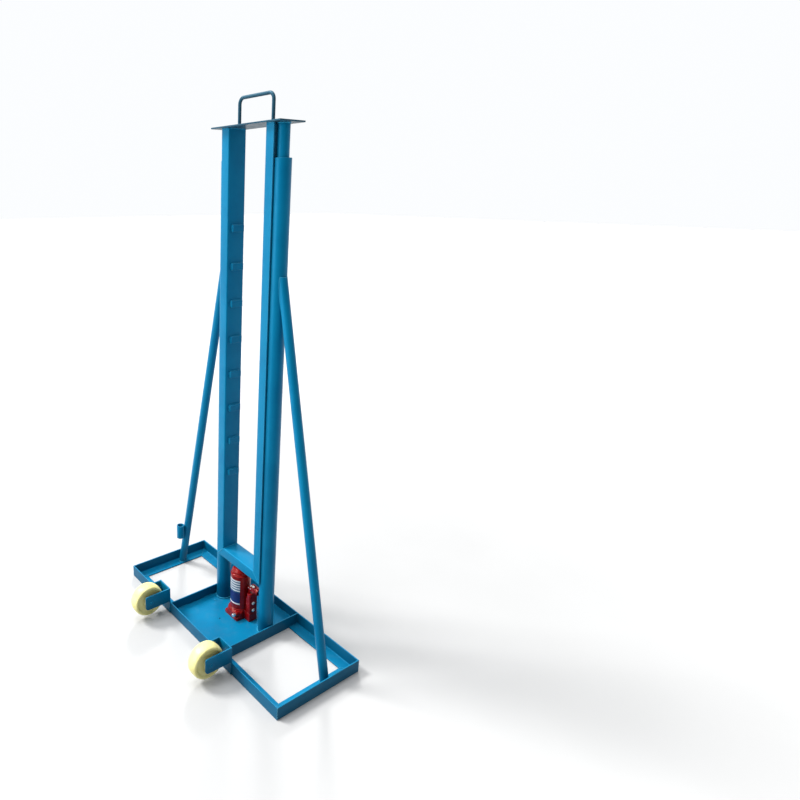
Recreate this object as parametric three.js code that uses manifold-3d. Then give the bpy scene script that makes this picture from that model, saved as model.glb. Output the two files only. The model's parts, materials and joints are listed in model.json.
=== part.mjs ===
// Hydraulic axle jack stand: an angle-steel base on two tilt-and-roll wheels carries two
// braced tube posts, and a ladder frame with hook rests slides up them on a bottle jack.
// Millimetres, +Z up, -Y towards the wheels. Pieces are placed from the point on the floor
// midway between the two posts; the whole stand then moves along Y, so that its origin is
// at the bottom centre of its box.
import * as THREE from 'three';
import { mergeVertices } from 'three/addons/utils/BufferGeometryUtils.js';
import Module from 'manifold-3d';

const wasm = await Module();
wasm.setup();

// ---------------------------------------------------------------- driving dimensions
const gap = 0.3; // air between pieces that touch
const fine = 16; // half the sides of a large round section
const coarse = 8; // half the sides of a small one

const baseLength = 1000;
const frontY = -250;
const rearY = 145;
const angleSize = 50;
const angleThickness = 5;
const crossRailX = 176; // outer face of each cross rail
const trayThickness = 4.7;

const postX = 140.4;
const postRadius = 30.15;
const postWall = 4.6;
const postTop = 1795;
const braceRadius = 17;
const braceWall = 3.2;
const braceFootX = 470;
const braceTopX = 161;
const braceTop = 1420;

const legInnerX = 97; // inner face of each leg's web
const legDepth = 76;
const frontFlange = 40;
const rearFlange = 28;
const foldThickness = 5;
const foldRadius = 5;
const beamTop = 273;
const plateUnderside = 1900;
const plateThickness = 5;
const plateLength = 365;
const plateDepth = 108;
const guideRadius = 21.2;
const guideWall = 3.2;
const guideLength = 640;
const bushLength = 40;

const handleX = 88;
const handleTop = 2000;
const handleRadius = 6;
const handleBend = 21;

const hookCount = 8;
const hookPitch = 136;
const hookTop = 1578.5; // top face of the highest hook
const hookThickness = 10;
const hookHeight = 25;
const hookLength = 50;
const hookY = 4;

const wheelX = 212;
const wheelY = -340;
const wheelZ = 84;
const wheelRadius = 67;
const wheelWidth = 48;
const hubWidth = 60;
const axleRadius = 6;
const forkWidth = 76;
const forkPlate = 5;
const earLow = 57;
const earHigh = 119;
const earTipY = -366;

const jackX = -4;
const jackY = -15;
const cylinderRadius = 41.5;
const ramRadius = 16.5;
const pumpX = 61; // from the jack's own axis
const pumpY = 14;
const pumpInnerX = 44.5;
const pumpOuterX = 74;
const pumpWidth = 33;
const plungerRadius = 7;
const leverArm = 12.5; // rocker, from its plunger pin to its link pin
const pinRadius = 3.2;

// The jack's heights are above its own underside, which stands on the tray.
const collarTop = 39;
const cylinderTop = 195;
const cylinderWall = 4;
const capTop = 218;
const pumpTop = 128;
const lugPinZ = 112;
const plungerPinZ = 147;
const valveX = 28;
const valveY = -48;
const valveZ = 27;
const plugRadius = 5; // threaded part of the filler plug and the two valve plugs
const plugOffset = 8; // how far the valve plugs stand in front of the pump's middle
const checkPlugZ = 54;
const overloadPlugZ = 86;
const fillerZ = 178;
const lugHalf = 6.2;
const linkThickness = 3.4;
const linkOffset = lugHalf + gap + linkThickness / 2;
const earInner = lugHalf + 2 * gap + linkThickness + 0.4;
const trayTop = angleThickness + gap + trayThickness;
const jackTop = beamTop - foldThickness - gap - (trayTop + gap);
const linkX = pumpX - leverArm;

// ------------------------------------------------------------------------- materials
const finish = (color, roughness, metalness) => (
  new THREE.MeshStandardMaterial({ color, roughness, metalness }));
const bluePaint = finish(0x1577a8, 0.42, 0.1);
const redPaint = finish(0xa3161b, 0.35, 0.1);
const nylon = finish(0xe9e6c4, 0.5, 0);
const steel = finish(0x9aa0a6, 0.35, 0.9);
const blackNylon = finish(0x1d1f22, 0.6, 0);
const rubber = finish(0x202020, 0.8, 0);

// ------------------------------------------------------------------ shape and solid kit
const X = new THREE.Vector3(1, 0, 0);
const Y = new THREE.Vector3(0, 1, 0);
const Z = new THREE.Vector3(0, 0, 1);
const minusZ = new THREE.Vector3(0, 0, -1);

function solid(geometry) {
  const bare = geometry.clone();
  bare.deleteAttribute('normal');
  bare.deleteAttribute('uv');
  const merged = mergeVertices(bare, 1e-4);
  return new wasm.Manifold(new wasm.Mesh({
    numProp: 3,
    vertProperties: merged.attributes.position.array,
    triVerts: new Uint32Array(merged.index.array),
  }));
}

function geometryOf(manifold) {
  const mesh = manifold.getMesh();
  const geometry = new THREE.BufferGeometry();
  geometry.setAttribute('position', new THREE.BufferAttribute(mesh.vertProperties, 3));
  geometry.setIndex(new THREE.BufferAttribute(mesh.triVerts, 1));
  return geometry;
}

function polygon(points) {
  return new THREE.Shape(points.map(([x, y]) => new THREE.Vector2(x, y)));
}

function roundedRectangle(width, height, radius, centreX = 0, centreY = 0) {
  const right = centreX + width / 2 - radius;
  const left = centreX - width / 2 + radius;
  const top = centreY + height / 2 - radius;
  const bottom = centreY - height / 2 + radius;
  const shape = new THREE.Shape();
  shape.absarc(right, top, radius, 0, Math.PI / 2);
  shape.absarc(left, top, radius, Math.PI / 2, Math.PI);
  shape.absarc(left, bottom, radius, Math.PI, 1.5 * Math.PI);
  shape.absarc(right, bottom, radius, 1.5 * Math.PI, 2 * Math.PI);
  return shape;
}

function extruded(shape, depth, curveSegments = 4) {
  return new THREE.ExtrudeGeometry(shape, { depth, bevelEnabled: false, curveSegments });
}

// Upright tube from height low to height high.
function tube(outer, inner, low, high, sides = fine) {
  const shape = new THREE.Shape();
  shape.absarc(0, 0, outer, 0, 2 * Math.PI);
  const hole = new THREE.Path();
  hole.absarc(0, 0, inner, 0, 2 * Math.PI);
  shape.holes.push(hole);
  return extruded(shape, high - low, sides).translate(0, 0, low);
}

// Upright rod or cone from height low to height high.
function rod(radius, low, high, sides = fine, topRadius = radius) {
  return new THREE.CylinderGeometry(topRadius, radius, high - low, 2 * sides)
    .rotateX(Math.PI / 2)
    .translate(0, 0, (low + high) / 2);
}

// Turned piece from [radius, height] points that run up its outside, axis on +Z.
function turned(profile, sides = fine) {
  const points = profile.map(([radius, height]) => new THREE.Vector2(radius, height));
  return new THREE.LatheGeometry(points, 2 * sides).rotateX(Math.PI / 2);
}

function box(width, depth, height, x, y, z) {
  return new THREE.BoxGeometry(width, depth, height).translate(x, y, z);
}

// Moves the two ends of a bar that runs along X: cut gives how far the end at each
// vertex moves outwards.
function cutEnds(geometry, cut) {
  const position = geometry.attributes.position;
  for (let i = 0; i < position.count; i += 1) {
    const x = position.getX(i);
    const shift = cut(position.getY(i), position.getZ(i));
    position.setX(i, x + Math.sign(x) * shift);
  }
  return geometry;
}

function part(group, name, geometry, material, x = 0, y = 0, z = 0, turn = 0) {
  const mesh = new THREE.Mesh(geometry, material);
  mesh.name = name;
  mesh.position.set(x, y, z);
  mesh.rotation.z = turn;
  group.add(mesh);
  return mesh;
}

// ------------------------------------------------------------------------ base frame
// Angle bar along X: its upright leg has its outer face at y = 0, its foot points to +Y.
function angleBar(length) {
  const t = angleThickness;
  const section = polygon([
    [0, 0], [angleSize, 0], [angleSize, t], [t, t], [t, angleSize], [0, angleSize],
  ]);
  return extruded(section, length)
    .applyMatrix4(new THREE.Matrix4().makeBasis(Y, Z, X))
    .translate(-length / 2, 0, 0);
}

function mitredBar(length) {
  return cutEnds(angleBar(length), (inward) => -inward - gap);
}

// The cross rail's ends are notched to stand over the feet of the front and rear rails.
function crossRail() {
  const inside = rearY - frontY - 2 * (angleThickness + gap);
  const footRoom = angleSize - angleThickness;
  const notchHeight = angleThickness + gap;
  const notchLength = 2 * (footRoom + gap);
  let bar = solid(angleBar(inside));
  for (const end of [-inside / 2, inside / 2]) {
    const notch = box(notchLength, 3 * angleSize, 2 * notchHeight, end, 0, 0);
    bar = bar.subtract(solid(notch));
  }
  return geometryOf(bar);
}

function buildBase() {
  const base = new THREE.Group();
  const depth = rearY - frontY;
  const middleY = (rearY + frontY) / 2;
  const half = baseLength / 2;
  const quarter = Math.PI / 2;
  part(base, 'front_rail', mitredBar(baseLength), bluePaint, 0, frontY);
  part(base, 'rear_rail', mitredBar(baseLength), bluePaint, 0, rearY, 0, Math.PI);
  part(base, 'left_end_rail', mitredBar(depth), bluePaint, -half, middleY, 0, -quarter);
  part(base, 'right_end_rail', mitredBar(depth), bluePaint, half, middleY, 0, quarter);
  part(base, 'left_cross_rail', crossRail(), bluePaint, -crossRailX, middleY, 0, -quarter);
  part(base, 'right_cross_rail', crossRail(), bluePaint, crossRailX, middleY, 0, quarter);

  const trayWidth = 2 * (crossRailX - angleThickness - gap);
  const trayDepth = depth - 2 * (angleThickness + gap);
  const trayZ = angleThickness + gap + trayThickness / 2;
  const tray = box(trayWidth, trayDepth, trayThickness, 0, middleY, trayZ);
  part(base, 'tray_plate', tray, bluePaint);
  return base;
}


// ------------------------------------------------------------------ posts and braces
// Tube that leans from the end rail's foot to the post and is coped to fit around it.
function braceTube() {
  const foot = new THREE.Vector3(braceFootX, 0, angleThickness + gap);
  const top = new THREE.Vector3(braceTopX, 0, braceTop);
  const lean = new THREE.Quaternion().setFromUnitVectors(Z, top.clone().sub(foot).normalize());
  const spare = 20;
  const length = foot.distanceTo(top) + 2 * spare;
  const blank = tube(braceRadius, braceRadius - braceWall, -spare, length, fine)
    .applyQuaternion(lean)
    .translate(foot.x, foot.y, foot.z);
  const height = top.z - foot.z;
  const window = box(2 * baseLength, 200, height, 0, 0, foot.z + height / 2);
  const cope = rod((postRadius + gap) / Math.cos(Math.PI / (2 * fine)), 0, 2 * postTop)
    .translate(postX, 0, 0);
  return geometryOf(solid(blank).intersect(solid(window)).subtract(solid(cope)));
}

function buildPosts() {
  const posts = new THREE.Group();
  const post = tube(postRadius, postRadius - postWall, trayTop + gap, postTop);
  const bushOuter = postRadius - postWall - gap;
  const bushInner = guideRadius + gap;
  const bush = tube(bushOuter, bushInner, postTop - bushLength, postTop);
  const brace = braceTube();
  for (const [side, x] of [['left', -postX], ['right', postX]]) {
    part(posts, `${side}_post`, post, bluePaint, x);
    part(posts, `${side}_guide_bush`, bush, blackNylon, x);
  }
  part(posts, 'left_brace', brace, bluePaint, 0, 0, 0, Math.PI);
  part(posts, 'right_brace', brace, bluePaint);

  // Open-topped tube that stores the jack's lever, standing against the left brace.
  const socketLow = 159;
  const socketHigh = 221;
  const socketX = 432.5;
  const socketY = -(2 * braceRadius + 2 * gap);
  const socket = tube(braceRadius, braceRadius - braceWall, socketLow, socketHigh, fine);
  part(posts, 'lever_socket', socket, bluePaint, -socketX, socketY);
  return posts;
}

// -------------------------------------------------------------------------- lift frame
// Folded section: u runs out from the web's face, v across it from front to rear.
function foldedSection(low, high) {
  const half = legDepth / 2;
  const t = foldThickness;
  const r = foldRadius;
  const section = new THREE.Shape();
  section.moveTo(r, -half);
  section.lineTo(low, -half);
  section.lineTo(low, t - half);
  section.lineTo(t, t - half);
  section.lineTo(t, half - t);
  section.lineTo(high, half - t);
  section.lineTo(high, half);
  section.lineTo(r, half);
  section.absarc(r, half - r, r, Math.PI / 2, Math.PI);
  section.absarc(r, r - half, r, Math.PI, 1.5 * Math.PI);
  return section;
}

// Leg that stands on the beam's mitre; the web's face is at x = 0 and flanges go to +X.
function legBar(low, high) {
  const length = plateUnderside - gap - beamTop;
  const bar = extruded(foldedSection(low, high), length);
  const position = bar.attributes.position;
  for (let i = 0; i < position.count; i += 1) {
    if (position.getZ(i) === 0) {
      position.setZ(i, gap * Math.SQRT2 - position.getX(i));
    }
  }
  return bar.translate(0, 0, beamTop);
}

function beamBar() {
  const width = 2 * legInnerX;
  const downwards = new THREE.Matrix4().makeBasis(minusZ, Y, X);
  const bar = extruded(foldedSection(frontFlange, rearFlange), width)
    .applyMatrix4(downwards)
    .translate(-width / 2, 0, 0);
  return cutEnds(bar, (y, z) => -z);
}

// Round bar bent into a handle: up, across and down again in the XZ plane.
class HandleCurve extends THREE.Curve {
  constructor(rise) {
    super();
    this.straight = rise - handleBend;
    this.corner = handleBend * Math.PI / 2;
    this.across = 2 * (handleX - handleBend);
    this.total = 2 * (this.straight + this.corner) + this.across;
  }

  getPoint(t, target = new THREE.Vector3()) {
    const half = this.total / 2;
    const along = t * this.total;
    const side = along < half ? -1 : 1;
    const fromEnd = along < half ? along : this.total - along;
    if (fromEnd <= this.straight) {
      return target.set(side * handleX, 0, fromEnd);
    }
    const turn = (fromEnd - this.straight) / handleBend;
    const centre = handleX - handleBend;
    if (turn <= Math.PI / 2) {
      const x = centre + handleBend * Math.cos(turn);
      return target.set(side * x, 0, this.straight + handleBend * Math.sin(turn));
    }
    const rest = fromEnd - this.straight - this.corner;
    return target.set(side * (centre - rest), 0, this.straight + handleBend);
  }
}

function handleBar(low) {
  const path = new HandleCurve(handleTop - handleRadius - low);
  const section = new THREE.Shape();
  section.absarc(0, 0, handleRadius, 0, 2 * Math.PI);
  const settings = { steps: 44, curveSegments: 6, extrudePath: path, bevelEnabled: false };
  return new THREE.ExtrudeGeometry(section, settings).translate(0, 0, low);
}

function hookBlock() {
  const chamfer = 1.2;
  const outline = roundedRectangle(hookLength - 2 * chamfer, hookHeight - 2 * chamfer, 1.5);
  const block = new THREE.ExtrudeGeometry(outline, {
    depth: hookThickness - 2 * chamfer,
    bevelThickness: chamfer,
    bevelSize: chamfer,
    bevelSegments: 1,
    curveSegments: 2,
  });
  return block
    .translate(0, 0, chamfer)
    .applyMatrix4(new THREE.Matrix4().makeBasis(Y, Z, X));
}

function buildLiftFrame() {
  const frame = new THREE.Group();
  const rightLeg = legBar(frontFlange, rearFlange);
  const leftLeg = legBar(rearFlange, frontFlange);
  part(frame, 'left_leg', leftLeg, bluePaint, -legInnerX, 0, 0, Math.PI);
  part(frame, 'right_leg', rightLeg, bluePaint, legInnerX);
  part(frame, 'cross_beam', beamBar(), bluePaint, 0, 0, beamTop);

  const plateOutline = roundedRectangle(plateLength, plateDepth, 3);
  const plate = extruded(plateOutline, plateThickness, 2);
  part(frame, 'top_plate', plate, bluePaint, 0, 0, plateUnderside);
  const plateTop = plateUnderside + plateThickness;
  part(frame, 'handle', handleBar(plateTop + gap), bluePaint);

  const guideTop = plateUnderside - gap;
  const guide = tube(guideRadius, guideRadius - guideWall, guideTop - guideLength, guideTop);
  part(frame, 'left_guide_tube', guide, bluePaint, -postX);
  part(frame, 'right_guide_tube', guide, bluePaint, postX);

  const block = hookBlock();
  const reach = legInnerX - gap;
  for (let i = 0; i < hookCount; i += 1) {
    const z = hookTop - hookHeight / 2 - i * hookPitch;
    part(frame, `left_hook_${i + 1}`, block, bluePaint, -reach, hookY, z);
    part(frame, `right_hook_${i + 1}`, block, bluePaint, reach - hookThickness, hookY, z);
  }
  return frame;
}

// ---------------------------------------------------------------------- tilt wheels
// Plate fork: a back plate on the front rail's face and two round-nosed ears.
function wheelFork() {
  const rear = frontY - gap;
  const noseRadius = 14;
  const earLength = rear - earTipY;
  const earHeight = earHigh - earLow;
  const ear = roundedRectangle(
    earLength, earHeight, noseRadius, earTipY + earLength / 2, (earLow + earHigh) / 2);
  const squareRear = box(forkWidth, 2 * noseRadius, earHeight, 0,
    rear - noseRadius, (earLow + earHigh) / 2);
  const core = box(forkWidth - 2 * forkPlate, 400, 400, 0, rear - forkPlate - 200, 0);
  const ears = extruded(ear, forkWidth, 6)
    .applyMatrix4(new THREE.Matrix4().makeBasis(Y, Z, X))
    .translate(-forkWidth / 2, 0, 0);
  const backLow = angleThickness;
  const backHeight = earHigh - backLow;
  const back = box(forkWidth, forkPlate, backHeight, 0,
    rear - forkPlate / 2, backLow + backHeight / 2);
  const hole = rod(axleRadius + gap, -forkWidth, forkWidth, coarse)
    .rotateY(Math.PI / 2)
    .translate(0, wheelY, wheelZ);
  const fork = solid(ears).add(solid(squareRear))
    .subtract(solid(core.translate(0, 0, (earLow + earHigh) / 2)))
    .add(solid(back))
    .subtract(solid(hole));
  return geometryOf(fork);
}

// Nylon wheel about +Z: crowned tread, dished sides and a hub wider than the rim.
function wheelBody() {
  const rim = wheelWidth / 2;
  const hub = hubWidth / 2;
  const bore = axleRadius + 2 * gap;
  const hubRadius = 19;
  const dish = 5;
  const shoulder = 7;
  const rimInner = wheelRadius - 14;
  const upperHalf = [
    [wheelRadius, rim - 2 * shoulder], [wheelRadius - 1.6, rim - shoulder],
    [wheelRadius - shoulder, rim], [rimInner, rim], [rimInner - dish, rim - dish],
    [hubRadius + dish, rim - dish], [hubRadius, rim], [hubRadius, hub], [bore, hub],
  ];
  const lowerHalf = upperHalf.map(([radius, height]) => [radius, -height]).reverse();
  return turned([...lowerHalf, ...upperHalf, lowerHalf[0]]);
}

// Pin riveted over at both ends, outside the fork's ears.
function axlePin() {
  const head = 9;
  const rise = 3;
  const shoulder = forkWidth / 2 + gap;
  return turned([
    [0, -shoulder - rise], [head - 2, -shoulder - rise], [head, -shoulder - 1],
    [head, -shoulder], [axleRadius, -shoulder], [axleRadius, shoulder], [head, shoulder],
    [head, shoulder + 1], [head - 2, shoulder + rise], [0, shoulder + rise],
  ], coarse);
}

function buildWheels() {
  const wheels = new THREE.Group();
  const fork = wheelFork();
  const wheel = wheelBody().rotateY(Math.PI / 2);
  const axle = axlePin().rotateY(Math.PI / 2);
  for (const [side, x] of [['left', -wheelX], ['right', wheelX]]) {
    part(wheels, `${side}_wheel_bracket`, fork, bluePaint, x);
    part(wheels, `${side}_wheel`, wheel, nylon, x, wheelY, wheelZ);
    part(wheels, `${side}_wheel_axle`, axle, bluePaint, x, wheelY, wheelZ);
  }
  return wheels;
}

// ----------------------------------------------------------------------- bottle jack
function alongY(radius, length, x, y, z, sides = coarse) {
  return rod(radius, -length / 2, length / 2, sides).rotateX(Math.PI / 2).translate(x, y, z);
}

// Cast base: a square foot, a lobe under the pump, and a round collar for the cylinder.
function jackBase() {
  const footHeight = 14;
  const foot = extruded(roundedRectangle(84, 97, 6, 0, -1.5), collarTop);
  const lobeWidth = 46;
  const lobeX = pumpOuterX - lobeWidth / 2;
  const lobe = extruded(roundedRectangle(lobeWidth, 38, 9, lobeX, pumpY + 2), collarTop);
  const skirt = rod(62, footHeight, collarTop, fine, cylinderRadius + 3);
  const outline = solid(foot).add(solid(lobe));
  const slab = outline.intersect(solid(box(300, 300, 2 * footHeight, 0, 0, 0)));
  const pumpFoot = box(pumpOuterX - 20, pumpWidth, collarTop, 10 + pumpOuterX / 2,
    pumpY, collarTop / 2);
  const boss = alongY(11, 20, valveX, -38.5, valveZ);
  const rise = outline.intersect(solid(skirt).add(solid(pumpFoot))).add(solid(boss));
  const valveHole = alongY(5.3, 24, valveX, valveY + 5.5, valveZ);
  return geometryOf(slab.add(rise).subtract(solid(valveHole)));
}

function jackCap() {
  const bore = ramRadius + gap;
  const skirtRadius = cylinderRadius - cylinderWall - gap;
  const seat = cylinderTop + gap;
  return turned([
    [bore, seat - 14], [skirtRadius, seat - 14], [skirtRadius, seat], [40, seat],
    [40, seat + 12], [38.5, seat + 17], [34, capTop], [bore, capTop], [bore, seat - 14],
  ]);
}

// Extension screw whose head is the saddle that carries the beam.
function jackScrew() {
  const shank = 11;
  const headLow = jackTop - 15;
  const saddle = 17;
  const groove = 3;
  const blank = turned([
    [0, 175], [shank, 175], [shank, headLow - 4], [shank + 4, headLow], [saddle, headLow],
    [saddle, jackTop - 1.5], [saddle - 1.5, jackTop], [0, jackTop],
  ]);
  let screw = solid(blank);
  for (const turn of [0, Math.PI / 2]) {
    const cut = box(3 * saddle, groove, 2 * groove, 0, 0, jackTop).rotateZ(turn);
    screw = screw.subtract(solid(cut));
  }
  return geometryOf(screw);
}

function jackRam() {
  const top = capTop + 8;
  const low = collarTop + 6;
  const socket = 11 + gap;
  const socketLow = 165;
  return turned([
    [0, low], [ramRadius, low], [ramRadius, top - 2], [ramRadius - 2, top], [socket, top],
    [socket, socketLow], [0, socketLow],
  ]);
}

// Pump housing: a block beside the cylinder, with a lug for the link pin's two links.
function pumpBody() {
  const width = pumpOuterX - pumpInnerX;
  const middle = (pumpOuterX + pumpInnerX) / 2;
  const low = collarTop + gap;
  const block = extruded(roundedRectangle(width, pumpWidth, 7, middle, pumpY), pumpTop - low)
    .translate(0, 0, low);
  const bore = rod(plungerRadius + gap, 62, 2 * pumpTop).translate(pumpX, pumpY, 0);
  const pinHole = alongY(pinRadius + gap, 80, linkX, pumpY, lugPinZ);
  const shelf = lugPinZ - 9;
  const recess = 11;
  const space = pumpWidth / 2;
  let body = solid(block).subtract(solid(bore)).subtract(solid(pinHole));
  for (const side of [-1, 1]) {
    const cut = box(2 * recess, space, 2 * (pumpTop - shelf), pumpInnerX,
      pumpY + side * (lugHalf + space / 2), pumpTop);
    body = body.subtract(solid(cut));
  }
  const overLug = box(2 * recess, pumpWidth, 2 * (pumpTop - lugPinZ - 6), pumpInnerX,
    pumpY, pumpTop);
  body = body.subtract(solid(overLug));
  for (const z of [checkPlugZ, overloadPlugZ]) {
    const seat = rod(plugRadius + gap, -6, 20, coarse).rotateY(Math.PI / 2);
    body = body.subtract(solid(seat.translate(pumpOuterX, pumpY - plugOffset, z)));
  }
  return geometryOf(body);
}

function pumpPlunger() {
  const stem = rod(plungerRadius, 70, plungerPinZ).translate(pumpX, pumpY, 0);
  const eye = alongY(7.5, 2 * lugHalf, pumpX, pumpY, plungerPinZ, fine);
  const hole = alongY(pinRadius + gap, 40, pumpX, pumpY, plungerPinZ);
  return geometryOf(solid(stem).add(solid(eye)).subtract(solid(hole)));
}

// Lever socket with two ears: they hold the link pin, then the plunger pin.
function rockerArm() {
  const earThickness = 3.7;
  const earWidth = 2 * (earInner + earThickness);
  const earRadius = 5.2;
  const socketOuter = earInner + earThickness - 0.5;
  const socketInner = 9.5;
  const socketLow = 21;
  const socketLength = 20;
  const outline = new THREE.Shape();
  outline.absarc(-leverArm, 0, earRadius, Math.PI / 2, 1.5 * Math.PI);
  outline.lineTo(4, -7.5);
  outline.lineTo(socketLow + 5, -7.5);
  outline.lineTo(socketLow + 5, 7.5);
  outline.lineTo(4, 7.5);
  const cheeks = extruded(outline, earWidth, 8)
    .rotateX(Math.PI / 2)
    .translate(0, earWidth / 2, 0);
  const slot = box(60, 2 * earInner, 60, socketLow - 30, 0, 0);
  const socket = rod(socketOuter, socketLow, socketLow + socketLength)
    .rotateY(Math.PI / 2);
  const bore = rod(socketInner, socketLow + 4, 3 * socketLength).rotateY(Math.PI / 2);
  let arm = solid(cheeks).subtract(solid(slot)).add(solid(socket)).subtract(solid(bore));
  for (const x of [-leverArm, 0]) {
    arm = arm.subtract(solid(alongY(pinRadius + gap, 60, x, 0, 0)));
  }
  return geometryOf(arm);
}

// Link from the lug's pin up to the link pin. Its upper hole is a short slot, because the
// rocker turns about the plunger's pin and pulls the link pin sideways a little.
function linkPlate() {
  const thickness = linkThickness;
  const width = 5.8;
  const slotTravel = 1.2;
  const base = new THREE.Vector2(linkX, lugPinZ);
  const top = new THREE.Vector2(linkX + slotTravel / 2, plungerPinZ);
  const lean = Math.atan2(base.x - top.x, top.y - base.y);
  const outline = new THREE.Shape();
  outline.absarc(base.x, base.y, width, Math.PI + lean, 2 * Math.PI + lean);
  outline.absarc(top.x, top.y, width, lean, Math.PI + lean);
  const plate = extruded(outline, thickness, 8)
    .rotateX(Math.PI / 2)
    .translate(0, thickness / 2, 0);
  const baseHole = alongY(pinRadius + gap, 20, base.x, 0, base.y);
  let link = solid(plate).subtract(solid(baseHole));
  for (const shift of [0, slotTravel]) {
    const end = alongY(pinRadius + 2 * gap, 20, linkX + shift, 0, top.y);
    link = link.subtract(solid(end));
  }
  return geometryOf(link);
}

function crossPin(length) {
  return alongY(pinRadius, length, 0, 0, 0);
}

function releaseValve() {
  const shank = 5;
  const head = 7.5;
  const slotDepth = 3;
  const blank = turned([
    [0, -15], [shank, -15], [shank, 2], [head, 2], [head, 12], [head - 1.5, 14], [0, 14],
  ], coarse);
  const slot = box(2.4, 4 * head, 2 * slotDepth, 0, 0, 14);
  return geometryOf(solid(blank).subtract(solid(slot)));
}

function fillerPlug() {
  const seat = cylinderWall + 2 * gap;
  return turned([
    [0, 0], [plugRadius, 0], [plugRadius, seat], [7, seat], [7, 7], [5.5, 8.5], [0, 8.5],
  ], coarse);
}

function cylinderTube() {
  const inner = cylinderRadius - cylinderWall;
  const blank = tube(cylinderRadius, inner, collarTop + gap, cylinderTop);
  const hole = alongY(plugRadius + gap, 2 * cylinderWall, 0, cylinderRadius, fillerZ);
  return geometryOf(solid(blank).subtract(solid(hole)));
}

function valvePlug() {
  const hex = 3;
  const blank = turned([
    [0, -5.5], [plugRadius, -5.5], [plugRadius, gap], [6.5, gap], [6.5, 3.5], [5.5, 4.5],
    [0, 4.5],
  ], coarse);
  const key = new THREE.CylinderGeometry(hex, hex, 5, 6).rotateX(Math.PI / 2);
  return geometryOf(solid(blank).subtract(solid(key.translate(0, 0, 4.5))));
}

function buildJack() {
  const jack = new THREE.Group();
  jack.position.set(jackX, jackY, trayTop + gap);
  part(jack, 'jack_base', jackBase(), redPaint);
  part(jack, 'jack_cylinder', cylinderTube(), redPaint);
  part(jack, 'jack_cap', jackCap(), redPaint);
  part(jack, 'jack_ram', jackRam(), steel);
  part(jack, 'jack_extension_screw', jackScrew(), steel);
  part(jack, 'jack_pump_body', pumpBody(), redPaint);
  part(jack, 'jack_pump_plunger', pumpPlunger(), steel);
  part(jack, 'jack_rocker', rockerArm(), redPaint, pumpX, pumpY, plungerPinZ);
  part(jack, 'jack_front_link', linkPlate(), redPaint, 0, pumpY - linkOffset);
  part(jack, 'jack_rear_link', linkPlate(), redPaint, 0, pumpY + linkOffset);
  const pinReach = 2 * earInner;
  part(jack, 'jack_lug_pin', crossPin(pinReach), steel, linkX, pumpY, lugPinZ);
  part(jack, 'jack_plunger_pin', crossPin(pinReach + 8), steel, pumpX, pumpY, plungerPinZ);
  part(jack, 'jack_link_pin', crossPin(pinReach + 8), steel, linkX, pumpY, plungerPinZ);
  const valve = releaseValve().rotateX(Math.PI / 2);
  part(jack, 'jack_release_valve', valve, steel, valveX, valveY, valveZ);
  const plug = fillerPlug().rotateX(-Math.PI / 2);
  part(jack, 'jack_filler_plug', plug, rubber, 0, cylinderRadius - cylinderWall, fillerZ);
  const valveSeat = valvePlug().rotateY(Math.PI / 2);
  const plugY = pumpY - plugOffset;
  part(jack, 'jack_check_plug', valveSeat, steel, pumpOuterX, plugY, checkPlugZ);
  part(jack, 'jack_overload_plug', valveSeat, steel, pumpOuterX, plugY, overloadPlugZ);
  return jack;
}

// ------------------------------------------------------------------------- the stand
const stand = new THREE.Group();
stand.add(buildBase(), buildPosts(), buildLiftFrame(), buildWheels(), buildJack());
stand.position.y = -(wheelY - wheelRadius + rearY) / 2;

export default stand;
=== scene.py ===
"""Looks of the hydraulic axle jack stand: painted steel, weld beads, nylon wheels, bottle jack.

Every shape is built around the CAD frame's own boxes, in metres: +Z up, -Y towards the wheels,
+X towards the right post. The meshes stand where they belong, and their objects sit at the origin.
"""
import json
from math import atan2, ceil, cos, hypot, pi, radians, sin, sqrt, tan

import bmesh
import bpy
from mathutils import Matrix, Vector, noise


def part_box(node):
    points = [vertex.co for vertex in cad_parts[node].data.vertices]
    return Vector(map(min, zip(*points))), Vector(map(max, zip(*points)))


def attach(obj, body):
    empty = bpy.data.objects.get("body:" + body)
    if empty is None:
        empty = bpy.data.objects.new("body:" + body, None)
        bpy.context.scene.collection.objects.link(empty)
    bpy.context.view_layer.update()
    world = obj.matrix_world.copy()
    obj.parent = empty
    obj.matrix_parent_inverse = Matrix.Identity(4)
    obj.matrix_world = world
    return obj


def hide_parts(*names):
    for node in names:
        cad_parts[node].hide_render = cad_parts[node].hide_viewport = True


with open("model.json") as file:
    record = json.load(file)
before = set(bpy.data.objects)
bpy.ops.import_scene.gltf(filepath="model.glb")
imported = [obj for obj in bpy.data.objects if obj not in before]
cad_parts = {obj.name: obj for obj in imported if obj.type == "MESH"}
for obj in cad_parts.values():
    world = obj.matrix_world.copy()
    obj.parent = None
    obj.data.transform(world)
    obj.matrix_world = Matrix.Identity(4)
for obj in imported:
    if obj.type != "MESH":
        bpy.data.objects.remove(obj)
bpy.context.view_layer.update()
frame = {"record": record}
record = frame["record"]
body_of = {node: body for body, nodes in record["behaviour"]["bodies"].items() for node in nodes}
slot_of = {row["node"]: row["material_slot"] for row in record["subparts"]}

MM = 0.001
QUARTER = pi / 2
SIDES = ("left", "right")
GAP = 0.3 * MM  # air that the CAD leaves between pieces that touch
PAST = 10 * MM  # how far a cutter runs on past an open face
MERGE = 1e-7  # vertices closer than this are one
HOOKS_PER_LEG = 8


def low(node):
    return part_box(node)[0]


def high(node):
    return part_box(node)[1]


def middle(node):
    return (low(node) + high(node)) / 2


def extent(node):
    return high(node) - low(node)


def centred_on(node):
    return Matrix.Translation(middle(node))


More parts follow.
